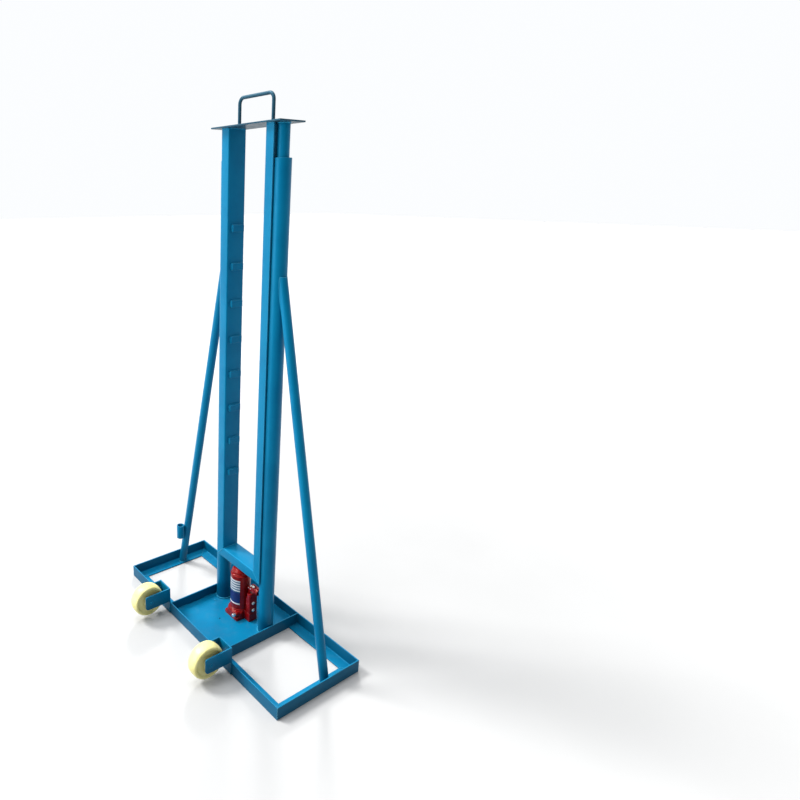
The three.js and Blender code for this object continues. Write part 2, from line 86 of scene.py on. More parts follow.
# ------------------------------------------------------------------ node material kit
class Nodes:
    """The node tree of a material or world, with a short method for each kind of node used here."""

    def __init__(self, owner, shader="Principled BSDF"):
        owner.use_nodes = True
        self.owner = owner
        self.tree = owner.node_tree
        self.shader = self.tree.nodes[shader]

    def put(self, socket, value):
        """Links an output to an input, or sets the input's own value."""
        if isinstance(value, bpy.types.NodeSocket):
            self.tree.links.new(value, socket)
        else:
            socket.default_value = value

    def give(self, socket, value):
        """Sets one of the shader's own inputs."""
        self.put(self.shader.inputs[socket], value)

    def add(self, kind, output, inputs=None, **settings):
        """Adds a node with its settings and inputs, and gives one of its outputs."""
        node = self.tree.nodes.new(kind)
        for name, value in settings.items():
            setattr(node, name, value)
        for socket, value in (inputs or {}).items():
            self.put(node.inputs[socket], value)
        return node.outputs[output]

    def place(self):
        return self.add("ShaderNodeTexCoord", "Object")

    def normal(self):
        return self.add("ShaderNodeNewGeometry", "Normal")

    def up(self, vector):
        return self.add("ShaderNodeSeparateXYZ", "Z", {0: vector})

    def height(self):
        return self.up(self.place())

    def facing_up(self, start, end):
        return self.fit(self.up(self.normal()), start, end)

    def stretched(self, scale):
        return self.add("ShaderNodeMapping", "Vector", {"Vector": self.place(), "Scale": scale})

    def noise(self, scale, detail=2.0, roughness=0.5, vector=None):
        inputs = {"Vector": vector or self.place(), "Scale": scale, "Detail": detail, "Roughness": roughness}
        return self.add("ShaderNodeTexNoise", "Fac", inputs)

    def spots(self, scale):
        return self.add("ShaderNodeTexVoronoi", "Distance", {"Vector": self.place(), "Scale": scale})

    def fit(self, value, start, end, out_start=0.0, out_end=1.0, curve="SMOOTHSTEP"):
        """Maps start..end to out_start..out_end, held at both ends."""
        inputs = {"Value": value, "From Min": start, "From Max": end, "To Min": out_start, "To Max": out_end}
        return self.add("ShaderNodeMapRange", "Result", inputs, interpolation_type=curve)

    def patchy(self, scale, start, end, roughness=0.5):
        """Drifts between two numbers."""
        return self.fit(self.noise(scale, 4.0, roughness), 0.3, 0.75, start, end)

    def maths(self, operation, first, second=0.0):
        return self.add("ShaderNodeMath", 0, {0: first, 1: second}, operation=operation)

    def measured(self, operation, first, second=(0.0, 0.0, 0.0)):
        """A number from one vector, or from two."""
        return self.add("ShaderNodeVectorMath", "Value", {0: first, 1: second}, operation=operation)

    def mix(self, amount, first, second):
        return self.add("ShaderNodeMix", 2, {"Factor": amount, 6: first, 7: second}, data_type="RGBA")

    def mottled(self, scale, first, second):
        """Two colours that drift into each other."""
        return self.mix(self.fit(self.noise(scale, 5.0, 0.6), 0.35, 0.7), first, second)

    def edges(self, radius):
        """One on edges sharper than the radius, zero on flat and gently round surfaces."""
        rounded_off = self.add("ShaderNodeBevel", "Normal", {"Radius": radius}, samples=4)
        likeness = self.measured("DOT_PRODUCT", rounded_off, self.normal())
        return self.fit(self.maths("SUBTRACT", 1.0, likeness), 0.02, 0.35)

    def bumps(self, layers):
        """Stacks (height, strength, distance) layers into the shader's normal."""
        below = {}
        for height, strength, distance in layers:
            inputs = {"Strength": strength, "Distance": distance, "Height": height, **below}
            below = {"Normal": self.add("ShaderNodeBump", "Normal", inputs)}
        self.give("Normal", below["Normal"])


def colour(red, green, blue):
    """An sRGB colour, 0 to 255, as Blender's linear one."""
    def linear(value):
        value /= 255
        return value / 12.92 if value <= 0.04045 else ((value + 0.055) / 1.055) ** 2.4
    return (linear(red), linear(green), linear(blue), 1.0)


def enamel(name, main, deep, bare_and_highlight, gloss, wear_and_highlight):
    """Sprayed enamel: drifting tone, orange peel, dust on top, worn edges lightened further by a painted
    highlight on every edge, and painted shade on upright faces near the floor.
    """
    k = Nodes(bpy.data.materials.new(name))
    dust_map = k.fit(k.noise(38.0, 6.0, 0.65), 0.45, 0.8, 0.0, 0.07)
    dust = k.maths("MULTIPLY", dust_map, k.facing_up(0.6, 0.98))
    dusty = k.mix(dust, k.mottled(5.0, main, deep), colour(120, 140, 146))
    # Painted shade: upright faces turn towards dark navy from 12 cm down to 5 cm above the floor.
    upright = k.maths("SUBTRACT", 1.0, k.facing_up(0.3, 0.8))
    painted_low_shade = k.maths("MULTIPLY", k.fit(k.height(), 0.12, 0.05), upright)
    with_low_shade = k.mix(k.maths("MULTIPLY", painted_low_shade, 0.55), dusty, colour(0, 48, 72))
    chips = k.fit(k.noise(210.0, 4.0, 0.7), 0.53, 0.62)
    # Painted highlight: every edge gets at least 0.55 of the pale colour's share, and chips add real wear up
    # to the full share.
    chips_and_edge_highlight = k.fit(chips, 0.0, 1.0, 0.55 * wear_and_highlight, wear_and_highlight)
    wear_and_edge_highlight = k.maths("MULTIPLY", k.edges(2.4 * MM), chips_and_edge_highlight)
    k.give("Base Color", k.mix(wear_and_edge_highlight, with_low_shade, bare_and_highlight))
    satin = k.patchy(16.0, gloss, gloss + 0.13, 0.6)
    k.give("Roughness", k.maths("ADD", satin, k.maths("MULTIPLY", dust, 0.9)))
    k.give("Specular IOR Level", 0.24)
    k.give("Specular Tint", (0.12, 0.62, 0.95, 1.0))
    k.bumps([
        (k.noise(26.0), 0.25, 0.5 * MM), (k.noise(620.0), 0.22, 0.12 * MM), (chips, 0.06, 0.1 * MM),
    ])
    return k.owner


def cast_enamel(name, main, deep, bare_and_highlight, gloss):
    """Enamel over a sand casting: a pebbled skin under the gloss."""
    k = Nodes(bpy.data.materials.new(name))
    chips = k.fit(k.noise(260.0, 4.0, 0.7), 0.56, 0.64)
    wear_and_edge_highlight = k.maths("MULTIPLY", k.edges(1.0 * MM), k.maths("MULTIPLY", chips, 0.5))
    k.give("Base Color", k.mix(wear_and_edge_highlight, k.mottled(30.0, main, deep), bare_and_highlight))
    k.give("Roughness", k.patchy(60.0, gloss, gloss + 0.15))
    k.give("Specular IOR Level", 0.4)
    k.give("Specular Tint", (1.0, 0.3, 0.26, 1.0))
    k.give("Coat Weight", 0.12)
    k.give("Coat Roughness", 0.1)
    k.bumps([(k.noise(160.0, 3.0, 0.6), 0.45, 0.5 * MM), (k.spots(520.0), 0.25, 0.3 * MM)])
    return k.owner


def cast_nylon(name):
    """Cream cast nylon: faint mottling, fine turning marks and grey scuffs on the tread."""
    k = Nodes(bpy.data.materials.new(name))
    tone = k.mottled(22.0, colour(204, 199, 138), colour(194, 188, 118))
    scuffs = k.fit(k.noise(1.0, 6.0, 0.7, k.stretched((260.0, 40.0, 40.0))), 0.58, 0.78, 0.0, 0.35)
    k.give("Base Color", k.mix(scuffs, tone, colour(138, 134, 112)))
    k.give("Roughness", k.patchy(45.0, 0.38, 0.55))
    k.give("Subsurface Weight", 0.12)
    k.give("Subsurface Radius", (0.006, 0.005, 0.003))
    k.give("Subsurface Scale", 1.0)
    k.bumps([
        (k.noise(1.0, 3.0, 0.5, k.stretched((900.0, 30.0, 30.0))), 0.12, 0.2 * MM),
        (k.noise(300.0, 3.0, 0.6), 0.15, 0.15 * MM),
    ])
    return k.owner


def bright_steel(name, tint, gloss, streak):
    """Turned or ground steel: lines round its axis and faint fingerprints."""
    k = Nodes(bpy.data.materials.new(name))
    dull = tuple(part * 0.82 for part in tint)
    k.give("Base Color", k.mottled(60.0, (*tint, 1.0), (*dull, 1.0)))
    k.give("Metallic", 1.0)
    lines = k.noise(1.0, 3.0, 0.6, k.stretched((60.0, 60.0, streak)))
    k.give("Roughness", k.fit(lines, 0.3, 0.75, gloss, gloss + 0.14))
    k.bumps([(lines, 0.12, 0.1 * MM)])
    return k.owner


def moulded_black(name, shade, roughness):
    """Moulded black nylon or rubber: fine matt grain with a little grey bloom."""
    k = Nodes(bpy.data.materials.new(name))
    bloom = k.fit(k.noise(70.0, 5.0, 0.6), 0.4, 0.8, 0.0, 0.3)
    k.give("Base Color", k.mix(bloom, shade, colour(70, 71, 74)))
    k.give("Roughness", k.patchy(120.0, roughness, roughness + 0.15))
    k.bumps([(k.noise(900.0, 3.0, 0.6), 0.3, 0.15 * MM)])
    return k.owner


def printed_label(name, label_low, label_high):
    """Glossy printed film: pale bars over a navy panel, plain bands with nothing written."""
    k = Nodes(bpy.data.materials.new(name))
    height = k.fit(k.height(), label_low, label_high, curve="LINEAR")
    bars = k.maths("GREATER_THAN", k.maths("FRACT", k.maths("MULTIPLY", height, 10.0)), 0.52)
    upper = k.maths("GREATER_THAN", height, 0.5)
    foot = k.maths("LESS_THAN", height, 0.055)
    striped = k.mix(bars, colour(34, 74, 104), colour(188, 193, 197))
    panel = k.mix(k.fit(k.noise(80.0, 3.0), 0.35, 0.7), colour(22, 32, 92), colour(18, 26, 76))
    sheet = k.mix(upper, panel, striped)
    k.give("Base Color", k.mix(foot, sheet, colour(190, 190, 196)))
    k.give("Roughness", k.patchy(50.0, 0.28, 0.42))
    k.bumps([(k.noise(90.0, 3.0), 0.2, 0.2 * MM)])
    return k.owner


def studio_floor(name):
    """Pale floor that fades into the surround: to white, and to grey on the camera's side."""
    k = Nodes(bpy.data.materials.new(name))
    patches = k.fit(k.noise(2.0, 3.0), 0.3, 0.7)
    near = k.mix(patches, (0.375, 0.378, 0.382, 1.0), (0.365, 0.368, 0.372, 1.0))
    far = k.fit(k.measured("LENGTH", k.place()), 1.0, 4.5)
    towards_camera = (sin(CAMERA_AZIMUTH), -cos(CAMERA_AZIMUTH), 0.0)
    dim = k.fit(k.measured("DOT_PRODUCT", k.place(), towards_camera), 1.6, 9.0)
    distant = k.mix(dim, (0.56, 0.565, 0.57, 1.0), (0.2, 0.203, 0.206, 1.0))
    k.give("Base Color", k.mix(far, near, distant))
    k.give("Roughness", 0.75)
    return k.owner


# The fourth colour of each enamel serves as its bare metal in chips and as a painted highlight along every
# edge.
blue = enamel("blue_enamel", colour(4, 103, 141), colour(2, 93, 131), colour(130, 205, 230),
              gloss=0.34, wear_and_highlight=0.85)
# Painted highlight: the weld beads' enamel is lighter than the frame's, for the light that their ridges
# catch.
bead_blue_highlit = enamel("weld_enamel_highlit", colour(36, 126, 160), colour(20, 108, 144), colour(110, 172, 192),
                   gloss=0.3, wear_and_highlight=0.5)
handle_blue = enamel("rubbed_enamel", colour(38, 70, 86), colour(22, 52, 70), colour(112, 132, 140),
                     gloss=0.36, wear_and_highlight=0.6)
red = cast_enamel("red_cast_enamel", colour(118, 5, 8), colour(94, 3, 6), colour(150, 60, 52), gloss=0.26)
FINISH = {
    "blue_paint": blue,
    "red_paint": red,
    "nylon": cast_nylon("cream_nylon"),
    "steel": bright_steel("zinc_steel", (0.93, 0.92, 0.9), gloss=0.22, streak=1400.0),
    "black_nylon": moulded_black("black_nylon_bush", colour(24, 25, 27), roughness=0.42),
    "rubber": moulded_black("black_rubber", colour(20, 20, 20), roughness=0.6),
}


# ----------------------------------------------------------------------- geometry kit
def arc(radius, start, turn, steps):
    angles = (start + turn * i / steps for i in range(steps + 1))
    return [radius * Vector((cos(angle), sin(angle))) for angle in angles]


def rounded(corners, steps=5, closed=True):
    """Outline with straight sides and round corners, from (x, y, corner radius) points."""
    outline = []
    count = len(corners)
    for i, (x, y, radius) in enumerate(corners):
        here = Vector((x, y))
        if radius == 0 or (not closed and i in (0, count - 1)):
            outline.append(here)
            continue
        back = (Vector(corners[i - 1][:2]) - here).normalized()
        onward = (Vector(corners[(i + 1) % count][:2]) - here).normalized()
        half = back.angle(onward) / 2
        centre = here + (back + onward).normalized() * radius / sin(half)
        first = here + back * radius / tan(half) - centre
        last = here + onward * radius / tan(half) - centre
        start = atan2(first.y, first.x)
        turn = (atan2(last.y, last.x) - start + pi) % (2 * pi) - pi
        outline += [centre + point for point in arc(radius, start, turn, steps)]
    return outline


def rectangle(width, height, radius, x=0.0, y=0.0):
    right, top = x + width / 2, y + height / 2
    left, bottom = x - width / 2, y - height / 2
    corners = ((right, top), (left, top), (left, bottom), (right, bottom))
    return rounded([(*corner, radius) for corner in corners])


def prism(outline, bottom, top):
    """Closed solid of an outline in XY between two heights."""
    count = len(outline)
    vertices = [Vector((*p, bottom)) for p in outline] + [Vector((*p, top)) for p in outline]
    sides = [(i, (i + 1) % count, count + (i + 1) % count, count + i) for i in range(count)]
    faces = sides + [tuple(reversed(range(count))), tuple(range(count, 2 * count))]
    return vertices, faces


def lathe(profile, segments=96):
    """Solid of revolution about Z, from a closed (radius, height) profile or one that ends on Z."""
    vertices, rings = [], []
    on_axis = [radius < MERGE for radius, _ in profile]
    for (radius, height), pole in zip(profile, on_axis):
        start = len(vertices)
        turns = 1 if pole else segments
        for i in range(turns):
            angle = 2 * pi * i / segments
            vertices.append(Vector((radius * cos(angle), radius * sin(angle), height)))
        rings.append([start + (0 if pole else i) for i in range(segments)])
    pairs = list(zip(rings, rings[1:]))
    if not (on_axis[0] and on_axis[-1]):
        pairs.append((rings[-1], rings[0]))
    faces = []
    for lower, upper in pairs:
        for i in range(segments):
            j = (i + 1) % segments
            loop = [lower[i], lower[j], upper[j], upper[i]]
            face = [v for n, v in enumerate(loop) if v != loop[n - 1]]
            if len(face) > 2:
                faces.append(tuple(face))
    return vertices, faces


def pipe_profile(outer, inner, bottom, top, lip=0.5 * MM):
    return rounded([(outer, bottom, lip), (outer, top, lip), (inner, top, lip), (inner, bottom, lip)], 3)


def flipped(profile):
    """The mirror image of half a profile below Z = 0, in the order that joins the half."""
    return [(radius, -height, corner) for radius, height, corner in reversed(profile)]


def sweep(path, radius_at, closed=False, sides=12):
    """Round bar along a path of points; radius_at(i) is its radius at each point."""
    count = len(path)
    vertices, faces = [], []
    side = None
    for i, point in enumerate(path):
        before = path[i - 1] if closed or i else path[0]
        after = path[(i + 1) % count] if closed or i < count - 1 else path[-1]
        ahead = (after - before).normalized()
        if side is None:
            side = ahead.orthogonal()
        side = (side - ahead * side.dot(ahead)).normalized()
        across = ahead.cross(side)
        radius = radius_at(i)
        for k in range(sides):
            angle = 2 * pi * k / sides
            vertices.append(point + radius * (cos(angle) * side + sin(angle) * across))
    for i in range(count if closed else count - 1):
        j = (i + 1) % count
        for k in range(sides):
            m = (k + 1) % sides
            faces.append((i * sides + k, i * sides + m, j * sides + m, j * sides + k))
    if not closed:
        faces.append(tuple(reversed(range(sides))))
        faces.append(tuple(range((count - 1) * sides, count * sides)))
    return vertices, faces


def moved(solid, matrix):
    vertices, faces = solid
    return [matrix @ vertex for vertex in vertices], faces


def spun(profile, place, segments=96):
    return moved(lathe(profile, segments), place)


def rod(radius, start, end, segments=48):
    return lathe([(0, start), (radius, start), (radius, end), (0, end)], segments)


def drill(radius, segments=48, reach=50 * MM):
    return rod(radius, -reach, reach, segments)


def shift(x, y, z):
    return Matrix.Translation((x, y, z))


def turned(angle, axis):
    return Matrix.Rotation(angle, 4, axis)


ALONG_X = Matrix(((0, 0, 1, 0), (1, 0, 0, 0), (0, 1, 0, 0), (0, 0, 0, 1)))  # XYZ go to YZX
ALONG_Y = Matrix(((1, 0, 0, 0), (0, 0, -1, 0), (0, 1, 0, 0), (0, 0, 0, 1)))  # Z goes to -Y, Y to Z
X_DOWN = Matrix(((0, 0, 1, 0), (0, 1, 0, 0), (-1, 0, 0, 0), (0, 0, 0, 1)))  # X goes to -Z, Z to X


def together(solids):
    """Several solids as one mesh's vertices and faces."""
    vertices, faces = [], []
    for some_vertices, some_faces in solids:
        start = len(vertices)
        vertices += some_vertices
        faces += [tuple(start + i for i in face) for face in some_faces]
    return vertices, faces


def linked(name, data):
    """A new object in the scene."""
    obj = bpy.data.objects.new(name, data)
    bpy.context.scene.collection.objects.link(obj)
    return obj


def raw(name, solid):
    """A bare object from a solid, with its faces turned outwards."""
    mesh = bpy.data.meshes.new(name)
    mesh.from_pydata([tuple(v) for v in solid[0]], [], solid[1])
    outwards(mesh)
    return linked(name, mesh)


def outwards(mesh):
    work = bmesh.new()
    work.from_mesh(mesh)
    bmesh.ops.remove_doubles(work, verts=work.verts, dist=MERGE)
    bmesh.ops.recalc_face_normals(work, faces=work.faces)
    work.to_mesh(mesh)
    work.free()


def bake_modifiers(obj):
    """Applies an object's modifiers to its mesh."""
    depsgraph = bpy.context.evaluated_depsgraph_get()
    mesh = bpy.data.meshes.new_from_object(obj.evaluated_get(depsgraph))
    obj.modifiers.clear()
    old, obj.data = obj.data, mesh
    bpy.data.meshes.remove(old)


def carve(obj, tools, operation="DIFFERENCE"):
    """Cuts the tool solids out of an object, joins them to it, or keeps what they share."""
    for solid in tools:
        tool = raw("tool", solid)
        modifier = obj.modifiers.new("carve", "BOOLEAN")
        modifier.object = tool
        modifier.operation = operation
        modifier.solver = "EXACT"
        bake_modifiers(obj)
        bpy.data.objects.remove(tool)
    return obj


def soften(obj, voxel, passes):
    """Turns sharp joins into cast fillets: an even voxel mesh, then a few smoothing passes."""
    remesh = obj.modifiers.new("remesh", "REMESH")
    remesh.mode = "VOXEL"
    remesh.voxel_size = voxel
    smooth = obj.modifiers.new("smooth", "SMOOTH")
    smooth.factor = 0.5
    smooth.iterations = passes
    bake_modifiers(obj)


def finish(obj, material, body, edge=0.0, smooth_angle=38):
    """Gives a piece its edges, shading, material and body."""
    if edge:
        bevel = obj.modifiers.new("edges", "BEVEL")
        bevel.width = edge
        bevel.segments = 2
        bevel.limit_method = "ANGLE"
        bevel.angle_limit = radians(40)
        bevel.use_clamp_overlap = False
        bevel.harden_normals = True
    obj.data.shade_smooth()
    obj.data.set_sharp_from_angle(angle=radians(smooth_angle))
    if edge:
        bake_modifiers(obj)
    obj.data.materials.clear()
    obj.data.materials.append(material)
    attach(obj, body)


def stand_for(node, solid_or_object, edge=0.0, material=None, smooth_angle=38):
    """The fine piece that replaces one CAD node, in that node's finish and on its body."""
    obj = solid_or_object
    if not isinstance(obj, bpy.types.Object):
        obj = raw(f"{node}_piece", solid_or_object)
    obj.name = f"{node}_piece"
    slot = slot_of[node]
    finish(obj, material or FINISH[slot], body_of[node], edge, smooth_angle)
    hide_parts(node)


def extra(name, solid, slot, body, material=None):
    """A piece that the CAD doesn't have."""
    finish(raw(name, solid), material or FINISH[slot], body)


# --------------------------------------------------------------------- camera and stage
LENS_FOCUS = 0.77644  # focal length over picture width
CAMERA_AZIMUTH = radians(55.23)
CAMERA_ELEVATION = radians(16.70)
CAMERA_ROLL = radians(0.22)
CAMERA_DISTANCE = 2.556
SHIFT_X, SHIFT_Y = 0.24334, -0.02570  # in picture widths

post_plane = middle("left_post").y
CAMERA_TARGET = Vector((-0.287, post_plane, 0.952))


def add_camera():
    data = bpy.data.cameras.new("camera")
    data.sensor_width = 36.0
    data.lens = LENS_FOCUS * data.sensor_width
    data.shift_x = SHIFT_X
    data.shift_y = SHIFT_Y
    data.clip_end = 60.0
    camera = linked("camera", data)
    level = cos(CAMERA_ELEVATION)
    back = Vector((sin(CAMERA_AZIMUTH) * level, -cos(CAMERA_AZIMUTH) * level, sin(CAMERA_ELEVATION)))
    rotation = back.to_track_quat("Z", "Y").to_matrix().to_4x4() @ turned(CAMERA_ROLL, "Z")
    camera.matrix_world = Matrix.Translation(CAMERA_TARGET + back * CAMERA_DISTANCE) @ rotation
    bpy.context.scene.camera = camera


def add_light(name, place, aim, size, power):
    data = bpy.data.lights.new(name, "AREA")
    data.shape = "RECTANGLE"
    data.size, data.size_y = size
    data.energy = power
    light = linked(name, data)
    light.location = place
    light.rotation_euler = (Vector(place) - Vector(aim)).to_track_quat("Z", "Y").to_euler()


def add_sun(name, direction, energy, angle, glare):
    """A distant lamp in the given direction; without glare, glossy surfaces don't mirror it."""
    data = bpy.data.lights.new(name, "SUN")
    data.energy = energy
    data.angle = radians(angle)
    data.color = (1.0, 0.985, 0.96)
    sun = linked(name, data)
    sun.visible_glossy = glare
    sun.rotation_euler = Vector(direction).to_track_quat("Z", "Y").to_euler()


def add_backdrop():
    """White studio surround, dimmer behind the camera so that the stand's sides keep some shade."""
    world = bpy.data.worlds.new("studio")
    bpy.context.scene.world = world
    k = Nodes(world, "Background")
    direction = k.add("ShaderNodeTexCoord", "Generated")
    towards_camera = (sin(CAMERA_AZIMUTH), -cos(CAMERA_AZIMUTH), 0.35)
    along = k.measured("DOT_PRODUCT", direction, towards_camera)
    k.give("Strength", k.fit(along, -0.1, 0.75, 1.0, 0.42, curve="LINEAR"))
    k.give("Color", (0.97, 0.985, 1.0, 1.0))


def add_stage():
    floor = raw("studio_floor", prism(rectangle(80.0, 80.0, 1.0), -0.02, 0.0))
    floor.data.materials.append(studio_floor("pale_floor"))
    add_backdrop()
    add_sun("key", (-0.85, -0.6, 1.15), energy=3.9, angle=16, glare=True)
    add_sun("back_key", (-0.75, 0.6, 0.62), energy=2.4, angle=9, glare=False)
    add_light("front_softbox", (-1.4, -4.6, 2.3), aim=(0.0, 0.1, 0.9), size=(2.6, 3.0), power=190)
    add_light("top_softbox", (-0.3, -0.6, 4.4), aim=(0.0, 0.1, 0.3), size=(2.0, 2.0), power=120)
    bpy.context.scene.view_settings.view_transform = "Standard"
    bpy.context.scene.view_settings.look = "None"


add_camera()
add_stage()


# --------------------------------------------------------------------------- weld beads
RIPPLE = 3.4 * MM
RINGS_PER_RIPPLE = 5
weld_beads = {body: [] for body in record["behaviour"]["bodies"]}


def evenly(path, closed):
    """The path again, with points at the weld ripple's own spacing."""
    points = list(path) + ([path[0]] if closed else [])
    lengths = [(b - a).length for a, b in zip(points, points[1:])]
    total = sum(lengths)
    count = max(6, ceil(total / RIPPLE) * RINGS_PER_RIPPLE)
    result = []
    segment, walked = 0, 0.0
    for i in range(count if closed else count + 1):
        target = total * i / count
        while segment < len(lengths) - 1 and walked + lengths[segment] < target:
            walked += lengths[segment]
            segment += 1
        share = (target - walked) / lengths[segment] if lengths[segment] else 0.0
        result.append(points[segment].lerp(points[segment + 1], min(share, 1.0)))
    return result


def bead_along(path, radius, closed=False):
    """Rippled weld bead along a path, thin at its open ends."""
    spaced = evenly(path, closed)
    last = len(spaced) - 1

    def thickness(i):
        wave = abs(sin(pi * i / RINGS_PER_RIPPLE))
        drift = noise.noise(spaced[i] * 300)
        end = 1.0 if closed else min(1.0, 0.35 + 0.22 * min(i, last - i))
        return radius * (0.84 + 0.16 * sqrt(wave) + 0.1 * drift) * end

    return sweep(spaced, thickness, closed, 10)


def weld(body, path, radius, closed=False):
    """Adds a bead to the body's welds."""
    weld_beads[body].append(bead_along(path, radius, closed))


def weld_line(body, start, end, radius):
    weld(body, [Vector(start), Vector(end)], radius)


def ring(centre, radius, count=72):
    angles = (2 * pi * i / count for i in range(count))
    return [centre + Vector((radius * cos(a), radius * sin(a), 0.0)) for a in angles]


def add_welds():
    for body, beads in weld_beads.items():
        if beads:
            extra(f"{body}_welds", together(beads), "blue_paint", body, bead_blue_highlit)


# --------------------------------------------------------------------------- base frame
ANGLE = extent("front_rail").z
PLATE = 5 * MM
ROOT_FILLET = 5 * MM
TOE = 2.2 * MM
HEEL = 0.8 * MM
rail_bottom = low("front_rail").z


def angle_section():
    """Hot-rolled angle: inwards and upwards from its heel."""
    return rounded([
        (0, 0, HEEL), (ANGLE, 0, HEEL), (ANGLE, PLATE, TOE), (PLATE, PLATE, ROOT_FILLET),
        (PLATE, ANGLE, TOE), (0, ANGLE, HEEL),
    ])


def plain_angle(length):
    return moved(prism(angle_section(), -length / 2, length / 2), ALONG_X)


def mitred_angle(length):
    vertices, faces = plain_angle(length)
    for vertex in vertices:
        inward = vertex.y
        vertex.x += -inward if vertex.x > 0 else inward
    return vertices, faces


def rail_place(node, turn):
    """Puts a rail's heel on the outer face of its CAD node."""
    centre = middle(node)
    outer = {0: low(node).y, pi: high(node).y}.get(turn, centre.y)
    side = {-QUARTER: low(node).x, QUARTER: high(node).x}.get(turn, centre.x)
    return shift(side, outer, rail_bottom) @ turned(turn, "Z")


def build_rails():
    for node, turn in (("front_rail", 0), ("rear_rail", pi),
                       ("left_end_rail", -QUARTER), ("right_end_rail", QUARTER)):
        size = extent(node)
        length = size.x if turn in (0, pi) else size.y
        stand_for(node, moved(mitred_angle(length), rail_place(node, turn)), 0.35 * MM)
    for node, turn in (("left_cross_rail", -QUARTER), ("right_cross_rail", QUARTER)):
        build_cross_rail(node, turn)
    front, rear = low("front_rail").y, high("rear_rail").y
    weld_corners(front, rear)
    weld_cross_rails(front, rear)


def build_cross_rail(node, turn):
    """Angle with its flange cut back at both ends, over the front and rear rails' flanges."""
    obj = raw(node, moved(plain_angle(extent(node).y), rail_place(node, turn)))
    cut_back = 2 * (ANGLE - PLATE + GAP)
    notch = prism(rectangle(4 * ANGLE, cut_back, 1 * MM), -ANGLE, PLATE + GAP)
    x = middle(node).x
    notches = [moved(notch, shift(x, y, rail_bottom)) for y in (low(node).y, high(node).y)]
    stand_for(node, carve(obj, notches), 0.3 * MM)


def weld_corners(front, rear):
    """Fillets up the inside of each corner, and over the mitre of its flanges."""
    left, right = low("left_end_rail").x, high("right_end_rail").x
    inner = PLATE + 0.6 * MM
    toe = ANGLE - 2 * MM
    for corner_x, inward_x in ((left, 1), (right, -1)):
        for corner_y, inward_y in ((front, 1), (rear, -1)):
            x, y = corner_x + inward_x * inner, corner_y + inward_y * inner
            weld_line("base", (x, y, PLATE + 2 * MM), (x, y, toe), 2.2 * MM)
            toe_place = (corner_x + inward_x * toe, corner_y + inward_y * toe, PLATE)
            weld_line("base", (x, y, PLATE), toe_place, 1.5 * MM)


def weld_cross_rails(front, rear):
    """Fillets up both sides of each cross rail's leg, at both its ends."""
    tray_top = high("tray_plate").z
    for node, inward in (("left_cross_rail", 1), ("right_cross_rail", -1)):
        outer = low(node).x if inward > 0 else high(node).x
        for y in (front + PLATE, rear - PLATE):
            for x, bottom in ((outer, PLATE + 1 * MM), (outer + inward * PLATE, tray_top)):
                weld_line("base", (x, y, bottom), (x, y, ANGLE - 2 * MM), 1.8 * MM)


def build_tray():
    """Tray sheet with a drain hole, stitched down all round."""
    node = "tray_plate"
    size, centre = extent(node), middle(node)
    left, right, front, rear = low(node).x, high(node).x, low(node).y, high(node).y
    top = high(node).z
    sheet = prism(rectangle(size.x, size.y, 1 * MM), low(node).z, top)
    obj = raw(node, moved(sheet, shift(centre.x, centre.y, 0)))
    drain = moved(drill(3.2 * MM, 32), shift(-0.020, post_plane - 0.108, 0))
    stand_for(node, carve(obj, [drain]), 0.4 * MM)
    stitches = [(x, centre.y + share * size.y, 0, 22 * MM) for x in (left, right)
                for share in (-0.36, -0.02, 0.32)]
    stitches += [(centre.x + share * size.x, y, 20 * MM, 0) for y in (front, rear)
                 for share in (-0.33, 0.0, 0.33)]
    for x, y, reach_x, reach_y in stitches:
        weld_line("base", (x - reach_x, y - reach_y, top), (x + reach_x, y + reach_y, top), 1.9 * MM)
    tack = Vector((-0.126, post_plane - 0.055, top))
    reach = Vector((0.006, 0.002, 0))
    weld_line("base", tack - reach, tack + reach, 2.2 * MM)


# --------------------------------------------------------------------- posts and braces
BRACE_RADIUS = extent("left_brace").y / 2
BRACE_WALL = 3.2 * MM
BRACE_FOOT_X = 0.470
BRACE_TOP_X = 0.161
POST_WALL = 4.6 * MM
BUSH_WALL = 3.75 * MM
GUIDE_WALL = 3.2 * MM


def pipe_for(node, wall, lip=0.5 * MM, segments=96):
    centre = middle(node)
    outer = extent(node).x / 2
    profile = pipe_profile(outer, outer - wall, low(node).z, high(node).z, lip)
    return spun(profile, shift(centre.x, centre.y, 0), segments)


def build_posts():
    for side in SIDES:
        post, bush, guide = (f"{side}_{name}" for name in ("post", "guide_bush", "guide_tube"))
        stand_for(post, pipe_for(post, POST_WALL, 0.8 * MM, 128))
        stand_for(bush, pipe_for(bush, BUSH_WALL))
        stand_for(guide, pipe_for(guide, GUIDE_WALL))
        centre = middle(post)
        foot = Vector((centre.x, centre.y, low(post).z + 1 * MM))
        weld("base", ring(foot, extent(post).x / 2 + 1.2 * MM), 3.6 * MM, True)
        head = Vector((centre.x, centre.y, high(guide).z - 0.8 * MM))
        weld("lift_frame", ring(head, extent(guide).x / 2 + 0.5 * MM), 2.0 * MM, True)
        build_brace(side)
    build_lever_socket()


def build_lever_socket():
    node = "lever_socket"
    stand_for(node, pipe_for(node, BRACE_WALL, 0.6 * MM))
    y = high(node).y - 0.6 * MM
    for across in (-3.5 * MM, 3.5 * MM):
        x = middle(node).x + across
        weld_line("base", (x, y, low(node).z + 6 * MM), (x, y, high(node).z - 6 * MM), 2.0 * MM)


